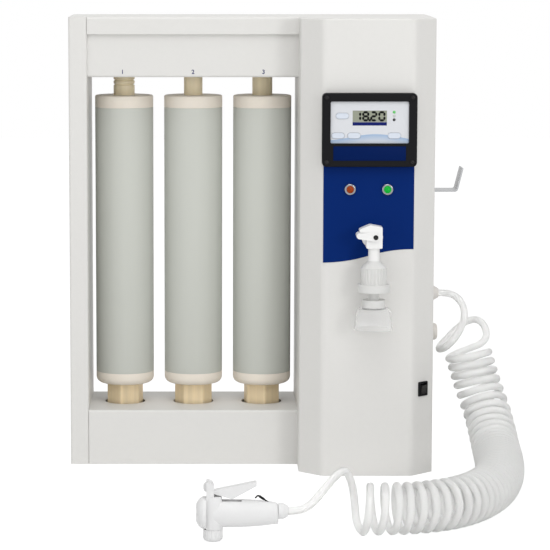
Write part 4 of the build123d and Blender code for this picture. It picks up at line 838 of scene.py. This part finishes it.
@dataclass
class Casing:
    """The folded-sheet frame, its cover and the plain numbers over the bay.

    Attributes:
        panel_y: Place of the panel's front face.
        number_z: Height of the numbers' middle.
        number_height: Height of the numbers' type.
        bolder: Share of that height by which their strokes are widened.
    """

    panel_y: float = -70.0
    number_z: float = 536.0
    number_height: float = 8.0
    bolder: float = 0.02

    def number(self, number: int, x: float) -> None:
        """Prints a plain number on the panel, as a thin film.

        Args:
            number: The number.
            x: Place of its middle.
        """
        name = f"bay_number_{number}"
        text = bpy.data.curves.new(name, "FONT")
        text.body, text.size = str(number), self.number_height
        text.align_x = text.align_y = "CENTER"
        text.extrude, text.offset = FILM / 2, self.bolder * self.number_height
        holder = bpy.data.objects.new(name + "_text", text)
        mesh = bpy.data.meshes.new_from_object(holder)
        bpy.data.objects.remove(holder)
        work = Workpiece()
        work.bm.from_mesh(mesh)
        bpy.data.meshes.remove(mesh)
        work.clean().place(facing_front(x, self.panel_y - FILM / 2, self.number_z))
        work.piece(name, PRINT, UNIT, "overlay")

    def build(self, nodes: Nodes) -> None:
        """Dresses the sheet-metal nodes and prints the numbers.

        Args:
            nodes: The frame's nodes by name.
        """
        dress(nodes, CASING, "left_upright", "header_shell", "base_shell", "base_pan", "cabinet_shell",
              "back_panel", "front_cover")
        dress(nodes, OVERLAY, "front_overlay")
        for number, x in enumerate(BAY_X, 1):
            self.number(number, x)


@dataclass
class Cartridge:
    """One cartridge: tube, caps, neck and union nut, turned about its own axis.

    Attributes:
        number: Its place in the bay.
        x: Place of its axis.
        neck: Diameter of its neck.
        nut_turn: Turn of its nut in degrees.
        radius: Outer radius of the tube and caps.
        wall: Wall of the tube.
        plug: Radius of the caps' plugs.
        low_z: Underside of the bottom cap's drum.
        low_cap: Height of that drum.
        top_z: Top of the top cap.
        top_cap: Height of the top cap.
        cap_plug: Height of the caps' plugs.
        header_z: Underside of the header, where the neck ends.
        spigot: Radius of the spigot.
        spigot_top: Top of the spigot.
        grooves: Heights of the first neck's grooves over the cap.
        groove: Depth and width of a groove.
        groove_edge: Height of a groove's sloping edge.
        foot: Radii of the bottom cap's nose, collar and waist, each with its depth below the drum.
        steps: Faces round the tube and caps.
        neck_steps: Faces round the neck.
        ease: Rounding of the tube's ends and the neck.
        cap_ease: Rounding of the caps' other edges.
        top_round: Rounding of the top cap's rim.
        low_round: Rounding of the bottom cap's rim.
        nut_flats: Width over the nut's flats.
        nut_z: Underside of the nut.
        nut_height: Height of the nut.
        nut_bore: Radius of its bore.
        web_bore: Radius of the hole in its web.
        web: Thickness of the web.
        nut_steps: Faces round the nut's bore, a multiple of six.
        nut_round: Rounding of the nut's outer edges.
        rim_band: Distance from the bore past which an edge of the nut is an outer one.
    """

    number: int
    x: float
    neck: float
    nut_turn: float
    radius: float = 40.0
    wall: float = 3.0
    plug: float = 36.95
    low_z: float = 102.0
    low_cap: float = 16.5
    top_z: float = 501.5
    top_cap: float = 16.5
    cap_plug: float = 10.0
    header_z: float = 529.0
    spigot: float = 11.0
    spigot_top: float = 572.0
    grooves: Pair = (13.5, 19.5)
    groove: float = 1.6
    groove_edge: float = 0.5
    foot: tuple[Pair, ...] = ((8.0, 27.0), (18.0, 10.0), (15.0, 5.3))
    steps: int = 96
    neck_steps: int = 72
    ease: float = 0.5
    cap_ease: float = 0.4
    top_round: float = 2.2
    low_round: float = 9.0
    nut_flats: float = 45.0
    nut_z: float = 62.0
    nut_height: float = 39.7
    nut_bore: float = 19.3
    web_bore: float = 15.3
    web: float = 4.7
    nut_steps: int = 48
    nut_round: float = 1.4
    rim_band: float = 2.0

    def name(self, part: str) -> str:
        """Gives the name of one of the cartridge's nodes."""
        return f"cartridge_{self.number}_{part}"

    def add(self, work: Workpiece, part: str, finish: Finish, slot: str, body: str) -> None:
        """Puts a turned workpiece on the cartridge's axis as a piece."""
        work.place(Matrix.Translation((self.x, 0, 0)))
        work.piece(f"{self.name(part)}_piece", finish, body, slot, self.name(part))

    def tube(self) -> Workpiece:
        """Turns the grey tube, with its ends eased.

        Returns:
            The tube.
        """
        low, high = self.low_z + self.low_cap, self.top_z - self.top_cap
        inner, outer = self.radius - self.wall, self.radius
        ring = Workpiece().turn([(inner, low), (outer, low), (outer, high), (inner, high)], self.steps, True)
        return ring.soften(self.ease, segments=2)

    def ease_cap(self, cap: Workpiece) -> Workpiece:
        """Eases a cap's sharp edges."""
        return cap.soften(self.cap_ease, segments=2, sharper_than=60.0)

    def on_top(self, edge: Edge) -> bool:
        """Tells whether an edge lies at the top cap's top."""
        return min(vert.co.z for vert in edge.verts) > self.top_z - 1

    def top(self) -> Workpiece:
        """Turns the top cap with the plug that fills the tube's end.

        Returns:
            The cap.
        """
        seam = self.top_z - self.top_cap
        low = seam - self.cap_plug
        cap = Workpiece().turn([
            (0, low), (self.plug, low), (self.plug, seam), (self.radius, seam), (self.radius, self.top_z),
            (0, self.top_z)], self.steps)
        return self.ease_cap(cap.soften(self.top_round, segments=4, where=self.on_top))

    def throat(self) -> Workpiece:
        """Turns the neck over the cap, with its grooves, and the spigot above it.

        Returns:
            The neck.
        """
        r, root, end = self.neck / 2, self.top_z, self.header_z
        profile = [(0, root), (r, root)]
        for rise in self.grooves if self.number == 1 else ():
            low, deep = root + rise, r - self.groove
            high = low + self.groove
            profile += [(r, low), (deep, low + self.groove_edge), (deep, high), (r, high + self.groove_edge)]
        profile += [(r, end), (self.spigot, end), (self.spigot, self.spigot_top), (0, self.spigot_top)]
        return Workpiece().turn(profile, self.neck_steps).soften(self.ease, segments=2, sharper_than=25.0)

    def on_rim(self, edge: Edge) -> bool:
        """Tells whether an edge runs round the bottom cap's rim."""
        place = edge.verts[0].co
        return abs(place.z - self.low_z) < 1 and place.xy.length > self.radius - 1

    def low(self) -> Workpiece:
        """Turns the bottom cap with its round edge, collar and nose.

        Returns:
            The cap.
        """
        z, seam = self.low_z, self.low_z + self.low_cap
        high = seam + self.cap_plug
        (nose, nose_drop), (collar, collar_drop), (waist, waist_drop) = self.foot
        cap = Workpiece().turn([
            (0, z - nose_drop), (nose, z - nose_drop), (nose, z - collar_drop), (collar, z - collar_drop),
            (collar, z - waist_drop), (waist, z - waist_drop), (waist, z), (self.radius, z),
            (self.radius, seam), (self.plug, seam), (self.plug, high), (0, high)], self.steps)
        return self.ease_cap(cap.soften(self.low_round, segments=7, where=self.on_rim))

    def on_outside(self, edge: Edge) -> bool:
        """Tells whether an edge of the nut lies well outside its bore."""
        return all(vert.co.xy.length > self.nut_bore + self.rim_band for vert in edge.verts)

    def nut(self) -> Workpiece:
        """Makes the hexagonal nut: six flats bridged to a round bore with a web at its top.

        Returns:
            The nut.
        """
        work = Workpiece()
        corner, high, bore = self.nut_flats / 2 / math.cos(math.pi / HEX), self.nut_height, self.nut_steps
        ledge = high - self.web
        rings = []
        for sides, radius, z in (
                (HEX, corner, 0.0), (HEX, corner, high), (bore, self.web_bore, high),
                (bore, self.web_bore, ledge), (bore, self.nut_bore, ledge), (bore, self.nut_bore, 0.0)):
            before = set(work.bm.edges)
            ring = bmesh.ops.create_circle(work.bm, segments=sides, radius=radius)["verts"]
            bmesh.ops.translate(work.bm, verts=ring, vec=(0, 0, z))
            if sides == HEX:
                flats = list(set(work.bm.edges) - before)
                bmesh.ops.subdivide_edges(work.bm, edges=flats, cuts=bore // sides - 1)
            rings.append(list(set(work.bm.edges) - before))
        for one, following in zip(rings, rings[1:] + rings[:1]):
            bmesh.ops.bridge_loops(work.bm, edges=one + following)
        work.clean().soften(self.nut_round, segments=3, where=self.on_outside)
        turn = Matrix.Rotation(math.radians(self.nut_turn) + math.pi / HEX, 4, "Z")
        return work.place(Matrix.Translation((0, 0, self.nut_z)) @ turn)

    def build(self, nodes: Nodes) -> None:
        """Builds the pieces and dresses the seals.

        Args:
            nodes: The frame's nodes by name.
        """
        body = f"cartridge_{self.number}"
        self.add(self.tube(), "tube", TUBE_GREY, "cartridge_grey", body)
        self.add(self.top(), "top_cap", CREAM, "cap_cream", body)
        # The neck takes the tan that is painted lighter against the header's shade.
        neck = self.throat().place(Matrix.Translation((self.x, 0, 0)))
        neck.piece(self.name("neck"), NECK_TAN_AND_PAINTED_LIGHT, body, "nut_tan")
        self.add(self.low(), "low_cap", CREAM, "cap_cream", body)
        self.add(self.nut(), "union_nut", TAN, "nut_tan", f"union_nut_{self.number}")
        dress(nodes, RUBBER, self.name("o_rings"))


class Segment(Enum):
    """The bars of a seven-segment figure, as (along, up, upright)."""

    TOP = (0.0, 1.0, False)
    MIDDLE = (0.0, 0.0, False)
    FOOT = (0.0, -1.0, False)
    LEFT_HIGH = (-1.0, 0.5, True)
    LEFT_LOW = (-1.0, -0.5, True)
    RIGHT_HIGH = (1.0, 0.5, True)
    RIGHT_LOW = (1.0, -0.5, True)


FIGURES = {
    "0": tuple(bar for bar in Segment if bar is not Segment.MIDDLE),
    "1": (Segment.RIGHT_HIGH, Segment.RIGHT_LOW),
    "8": tuple(Segment),
    "2": (Segment.TOP, Segment.RIGHT_HIGH, Segment.MIDDLE, Segment.LEFT_LOW, Segment.FOOT),
}


@dataclass
class Meter:
    """The meter on the cover: dressed nodes, the figures on its display and the bare strip plate.

    Attributes:
        x: Middle of the display and the strip plate.
        display_y: Front of the display.
        display_z: Middle of the display.
        reading: The figures on it.
        figure_half_w: Half of a figure's width, to its bars' middle.
        figure_half_h: Half of a figure's height, to its bars' middle.
        figure_step: Distance from one figure to the next.
        bar: Width of a bar.
        bar_gap: Share of that width by which a bar is cut short.
        strip_y: Place of the strip plate's back.
        strip_z: Height of its middle.
        strip_w: Its width.
        strip_h: Its height.
        strip_t: Its thickness.
        strip_round: Rounding of its edges.
        face_y: Place of the meter's white face.
        label_w: Width of the bare bar under the display.
        label_h: Height of that bar.
        label_z: Height of its middle.
        led_x: Place of the LEDs.
        led_z: Height of each LED.
        led_profile: Radius and height of a LED's lens.
        led_steps: Faces round a lens.
    """

    x: float = 155.0
    display_y: float = -164.2
    display_z: float = 482.5
    reading: str = "18.20"
    figure_half_w: float = 3.3
    figure_half_h: float = 5.3
    figure_step: float = 10.6
    bar: float = 2.9
    bar_gap: float = 0.1
    strip_y: float = -167.0
    strip_z: float = 433.75
    strip_w: float = 95.4
    strip_h: float = 18.9
    strip_t: float = 0.8
    strip_round: float = 0.3
    face_y: float = -165.0
    label_w: float = 45.0
    label_h: float = 4.4
    label_z: float = 472.6
    led_x: float = 187.0
    led_z: tuple[float, ...] = (488.0, 483.0, 478.0)
    led_profile: tuple[Pair, ...] = ((0, -1.1), (2, -1.1), (2, 0.1), (1.6, 0.4), (0.9, 0.5), (0, 0.52))
    led_steps: int = 24

    def figures(self) -> Workpiece:
        """Lays out the reading from bars with pointed ends.

        Returns:
            The figures.
        """
        work = Workpiece()
        places = [c for c in self.reading if c != "."]
        left = -self.figure_step * (len(places) - 1) / 2
        column = -1
        for sign in self.reading:
            if sign == ".":
                dot_x = left + self.figure_step * (column + 0.5)
                work.join(self.bar_at(dot_x, -self.figure_half_h, self.bar, False))
                continue
            column += 1
            for segment in FIGURES[sign]:
                along, up, upright = segment.value
                run = self.figure_half_h if upright else 2 * self.figure_half_w
                x = left + self.figure_step * column + along * self.figure_half_w
                work.join(self.bar_at(x, up * self.figure_half_h, run - self.bar * self.bar_gap, upright))
        return work.place(facing_front(self.x, self.display_y, self.display_z))

    def bar_at(self, x: float, y: float, length: float, upright: bool) -> Workpiece:
        """Makes one bar of a figure.

        Args:
            x: Place along the display.
            y: Place up the display.
            length: Length of the bar.
            upright: Whether the bar stands.

        Returns:
            The bar.
        """
        half, point = length / 2, self.bar / 2
        inner = max(half - point, 0.0)
        outline = [(-half, 0), (-inner, -point), (inner, -point), (half, 0), (inner, point), (-inner, point)]
        if inner == 0.0:
            outline = [(-point, -point), (point, -point), (point, point), (-point, point)]
        turn = Matrix.Rotation(math.radians(90 if upright else 0), 4, "Z")
        return Workpiece().plate(outline, FILM).place(Matrix.Translation((x, y, 0)) @ turn)

    def build(self, nodes: Nodes) -> None:
        """Dresses the meter's nodes and adds the LEDs, figures, strip plate and bare bar.

        Args:
            nodes: The frame's nodes by name.
        """
        dress(nodes, BLACK, "meter_bezel")
        dress(nodes, FACE, "meter_face")
        dress(nodes, DISPLAY, "meter_lcd")
        replaced = ["meter_leds"]
        for row, (z, finish) in enumerate(zip(self.led_z, (LED_GREEN, LED_PALE, LED_DARK)), 1):
            led = Workpiece().turn(self.led_profile, self.led_steps)
            led.place(facing_front(self.led_x, self.face_y, z))
            led.piece(f"meter_led_{row}", finish, UNIT, "led", *replaced)
            replaced = []
        dress(nodes, KEYS, "meter_key_1", "meter_key_2", "meter_key_3", "meter_key_4")
        self.figures().piece("display_figures", DIGITS, UNIT, "black_plastic")
        plate = Workpiece().block(self.strip_w, self.strip_h, self.strip_t)
        plate.soften(self.strip_round, segments=2)
        plate.place(facing_front(self.x, self.strip_y, self.strip_z))
        plate.piece("strip_plate", STRIP, UNIT, "overlay")
        label = Workpiece().block(self.label_w, self.label_h, FILM)
        label.place(facing_front(self.x, self.face_y, self.label_z))
        label.piece("display_label", PRINT, UNIT, "overlay")


@dataclass
class Fasteners:
    """The screws of the bezel, the back panel and the mains inlet, and the pins of the two levers.

    Attributes:
        screw_x: Places of the bezel's screws.
        screw_z: Their heights.
        screw_y: Front of the bezel at a screw.
        screw_profile: Radius and height of a screw's head.
        back_y: Face of the back panel.
        back_x: Places of its screws.
        back_z: Their heights.
        inlet_y: Face of the mains inlet.
        inlet_x: Places of its screws.
        inlet_z: Their height.
        pin_at: Inner end of the outlet lever's pin.
        pin_profile: Radius and length of that pin and its head.
        gun_pin_at: Inner end of the gun lever's pin.
        gun_pin_profile: Radius and length of that pin.
        screw_steps: Faces round a screw.
        pin_steps: Faces round a pin.
    """

    screw_x: tuple[float, ...] = (98.5, 211.5)
    screw_z: tuple[float, ...] = (422.0, 507.0)
    screw_y: float = -166.8
    screw_profile: tuple[Pair, ...] = (
        (0, 0), (3, 0), (3, 0.8), (2.6, 1.35), (1.9, 1.6), (1.3, 1.6), (1.1, 0.7), (0, 0.6))
    back_y: float = 76.0
    back_x: tuple[float, ...] = (76.0, 234.0)
    back_z: tuple[float, ...] = (20.0, 208.0, 402.0, 590.0)
    inlet_y: float = 79.0
    inlet_x: tuple[float, ...] = (90.0, 130.0)
    inlet_z: float = 70.0
    pin_at: Point = (161.5, -194.0, 327.0)
    pin_profile: tuple[Pair, ...] = (
        (0, 0), (1.6, 0), (1.6, 13.6), (3.2, 13.6), (3.2, 14.2), (2.5, 14.75), (0, 14.8))
    gun_pin_at: Point = (-58.0, -523.6, 65.3)
    gun_pin_profile: tuple[Pair, ...] = ((0, 0), (1.6, 0), (1.6, 20.8), (0, 20.8))
    screw_steps: int = 32
    pin_steps: int = 40

    def screws(self, places: Iterable[Matrix]) -> Workpiece:
        """Turns a group of screws.

        Args:
            places: The place of each screw.

        Returns:
            The screws as one workpiece.
        """
        group = Workpiece()
        for place in places:
            group.join(Workpiece().turn(self.screw_profile, self.screw_steps).place(place))
        return group

    def build(self) -> None:
        """Builds each group of screws as one piece and each pin as one."""
        bezel = self.screws(facing_front(x, self.screw_y, z) for x in self.screw_x for z in self.screw_z)
        bezel.piece("bezel_screws", BLACKENED, UNIT, "steel", "steel_fasteners")
        places = [(x, self.back_y, z) for x in self.back_x for z in self.back_z]
        places += [(x, self.inlet_y, self.inlet_z) for x in self.inlet_x]
        self.screws(facing_back(*place) for place in places).piece("back_screws", STEEL, UNIT, "steel")
        pin = Workpiece().turn(self.pin_profile, self.pin_steps).place(facing_front(*self.pin_at))
        pin.piece("outlet_lever_pin", BLACKENED, UNIT, "steel")
        pin = Workpiece().turn(self.gun_pin_profile, self.pin_steps).place(facing_front(*self.gun_pin_at))
        pin.piece("gun_lever_pin", GUN_NYLON, UNIT, "gun_plastic")


@dataclass
class Fittings:
    """The lamps, outlet, switch, hook and ports, and the pieces inside the cabinet."""

    def build(self, nodes: Nodes) -> None:
        """Dresses the nodes.

        Args:
            nodes: The frame's nodes by name.
        """
        dress(nodes, CHROME, "lamp_rings")
        dress(nodes, AMBER, "amber_lens")
        dress(nodes, GREEN, "green_lens")
        dress(nodes, WHITE, "outlet_valve", "outlet_lever", "bay_sockets", "resistivity_cell")
        dress(nodes, PORT, "hose_port", "feed_port")
        dress(nodes, FROST, "final_filter")
        dress(nodes, CLEAR, "filter_bell")
        dress(nodes, BLACK, "switch_frame", "mains_inlet")
        dress(nodes, ROCKER, "power_rocker")
        dress(nodes, STEEL, "hose_hook")
        dress(nodes, PUMP, "circulation_pump")
        dress(nodes, SUPPLY, "power_supply")
        dress(nodes, BOARD, "control_board")
        dress(nodes, BRASS, "solenoid_valve")


@dataclass
class Gun:
    """The dispensing gun at the end of the hose, with a sleeve on its lock wire.

    Attributes:
        wire_pivot: Where the lock wire turns.
        wire_way: Direction of its straight.
        sleeve_profile: Radius of the sleeve, and distance from the pivot.
        sleeve_steps: Faces round the sleeve.
    """

    wire_pivot: Point = (17.0, -534.0, 44.8)
    wire_way: Point = (-15.4, 0.0, 10.2)
    sleeve_profile: tuple[Pair, ...] = (
        (0.9, 9.4), (1.25, 9.4), (1.5, 9.7), (1.5, 16.6), (1.25, 16.9), (0.9, 16.9))
    sleeve_steps: int = 32

    def sleeve(self) -> bpy.types.Object:
        """Slides a sleeve on the straight of the lock wire.

        Returns:
            The piece.
        """
        lean = Vector((0, 0, 1)).rotation_difference(Vector(self.wire_way)).to_matrix().to_4x4()
        tube = Workpiece().turn(self.sleeve_profile, self.sleeve_steps, True)
        tube.place(Matrix.Translation(self.wire_pivot) @ lean)
        return tube.piece("lock_wire_sleeve", WIRE, "gun_lock_wire", "black_wire")

    def build(self, nodes: Nodes) -> list[bpy.types.Object]:
        """Dresses the gun.

        Args:
            nodes: The frame's nodes by name.

        Returns:
            The pieces on the hose's end.
        """
        names = ("gun_body", "gun_spray_disc", "gun_lever", "gun_flow_knob", "gun_hose_nut")
        dress(nodes, GUN_NYLON, *names)
        dress(nodes, WIRE, "gun_lock_wire")
        return [*(nodes[name] for name in (*names, "gun_lock_wire")), self.sleeve()]


@dataclass(frozen=True)
class Lamp:
    """A round, soft lamp.

    Attributes:
        name: Name of the lamp.
        place: Where it hangs, in millimetres.
        aim: Where it points, in millimetres.
        size: Its diameter in metres.
        power: Its power in watts.
    """

    name: str
    place: Point
    aim: Point
    size: float
    power: float

    def hang(self) -> None:
        """Hangs the lamp."""
        data = bpy.data.lights.new(self.name, "AREA")
        data.shape, data.size, data.energy = "DISK", self.size, self.power
        lamp = bpy.data.objects.new(self.name, data)
        place = Vector(self.place)
        lamp.location = place * MM
        lamp.rotation_euler = (Vector(self.aim) - place).to_track_quat("-Z", "Y").to_euler()
        bpy.context.scene.collection.objects.link(lamp)


@dataclass
class Studio:
    """Camera, lamps, background and floor.

    Attributes:
        camera_at: Place of the camera.
        pitch: Its tilt below the level, in degrees.
        lens: Its focal length.
        sensor: Width of its sensor.
        shift_x: Its sideways shift.
        reach: Its farthest sight, in metres.
        ambient: Light of the background on the object.
        floor_half: Half of the floor's side.
        floor_drop: Depth of the floor below the object.
        paper: Shade of the floor for the light on the object.
        faint: Shade of the floor where it is seen, which keeps the shadow.
        glow: Light of the floor where it is seen.
        lamps: The lamps.
    """

    camera_at: Point = (-62.6, -3522.0, 699.0)
    pitch: float = 7.24
    lens: float = 167.4
    sensor: float = 36.0
    shift_x: float = 0.129
    reach: float = 50.0
    ambient: float = 0.55
    floor_half: float = 6000.0
    floor_drop: float = 0.4
    paper: float = 0.9
    faint: float = 0.24
    glow: float = 0.9
    lamps: tuple[Lamp, ...] = (
        Lamp("key", (1500, -2900, 900), (60, -100, 240), size=0.9, power=17.0),
        Lamp("front", (0, -2200, 2400), (0, -100, 150), size=2.0, power=26.0),
        Lamp("fill", (-2300, -2400, 400), (0, -100, 200), size=2.2, power=8.0),
        Lamp("top", (0, -250, 2600), (0, -200, 100), size=2.0, power=12.5))

    def camera(self) -> None:
        """Sets the camera at the photograph's viewing angle."""
        data = bpy.data.cameras.new("camera")
        data.lens, data.sensor_width, data.shift_x = self.lens, self.sensor, self.shift_x
        data.clip_end = self.reach
        camera = bpy.data.objects.new("camera", data)
        camera.location = Vector(self.camera_at) * MM
        camera.rotation_euler = (math.radians(90 - self.pitch), 0.0, 0.0)
        bpy.context.scene.collection.objects.link(camera)
        bpy.context.scene.camera = camera

    @staticmethod
    def seen(tree: Tree) -> Socket:
        """Gives 1 where the camera, a reflection or a clear piece looks at the background.

        Args:
            tree: The tree that needs it.

        Returns:
            The output socket.
        """
        rays = tree.add("ShaderNodeLightPath").outputs
        either = tree.math("MAXIMUM", rays["Is Camera Ray"], rays["Is Glossy Ray"])
        return tree.math("MAXIMUM", either, rays["Is Transmission Ray"])

    def background(self) -> None:
        """Makes a world that looks white and lights softly."""
        world = bpy.data.worlds.new("studio")
        world.use_nodes = True
        tree = Tree(world.node_tree)
        back = tree.add("ShaderNodeBackground", {"Color": (1, 1, 1, 1)})
        strength = tree.add("ShaderNodeMix", {"A": self.ambient, "B": 1.0}, data_type="FLOAT")
        tree.join(self.seen(tree), strength.inputs["Factor"])
        tree.join(strength.outputs["Result"], back.inputs["Strength"])
        tree.join(back.outputs[0], tree.add("ShaderNodeOutputWorld").inputs["Surface"])
        bpy.context.scene.world = world

    def floor(self) -> None:
        """Lays a pale floor that looks white and keeps a faint shadow."""
        made = bpy.data.materials.new("floor_paper")
        made.use_nodes = True
        tree = Tree(made.node_tree)
        paper = tree.add("ShaderNodeBsdfDiffuse", {"Color": (self.paper, self.paper, self.paper, 1)})
        faint = tree.add("ShaderNodeBsdfDiffuse", {"Color": (self.faint, self.faint, self.faint, 1)})
        glow = tree.add("ShaderNodeEmission", {"Color": (1, 1, 1, 1), "Strength": self.glow})
        lifted = tree.add("ShaderNodeAddShader")
        tree.join(faint.outputs[0], lifted.inputs[0])
        tree.join(glow.outputs[0], lifted.inputs[1])
        choice = tree.add("ShaderNodeMixShader")
        tree.join(self.seen(tree), choice.inputs[0])
        tree.join(paper.outputs[0], choice.inputs[1])
        tree.join(lifted.outputs[0], choice.inputs[2])
        tree.join(choice.outputs[0], tree.add("ShaderNodeOutputMaterial").inputs["Surface"])
        work = bmesh.new()
        bmesh.ops.create_grid(work, x_segments=1, y_segments=1, size=self.floor_half * MM)
        bmesh.ops.translate(work, verts=work.verts, vec=(0, 0, -self.floor_drop * MM))
        mesh = bpy.data.meshes.new("floor")
        work.to_mesh(mesh)
        work.free()
        mesh.materials.append(made)
        floor = bpy.data.objects.new("floor", mesh)
        bpy.context.scene.collection.objects.link(floor)

    def build(self) -> None:
        """Sets up the whole studio."""
        bpy.context.scene.view_settings.view_transform = "Standard"
        self.camera()
        for lamp in self.lamps:
            lamp.hang()
        self.background()
        self.floor()


def main() -> None:
    """Builds the sub-assemblies in order."""
    logging.basicConfig(level=logging.INFO, format="%(message)s")
    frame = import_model()
    nodes = frame["nodes"]
    Studio().build()
    on_hose = Gun().build(nodes)
    Hose().build(on_hose)
    Casing().build(nodes)
    Cartridge(number=1, x=BAY_X[0], neck=29.0, nut_turn=18.0).build(nodes)
    Cartridge(number=2, x=BAY_X[1], neck=25.5, nut_turn=0.0).build(nodes)
    Cartridge(number=3, x=BAY_X[2], neck=27.5, nut_turn=-21.0).build(nodes)
    Meter().build(nodes)
    Fasteners().build()
    Fittings().build(nodes)


if __name__ == "__main__":
    main()
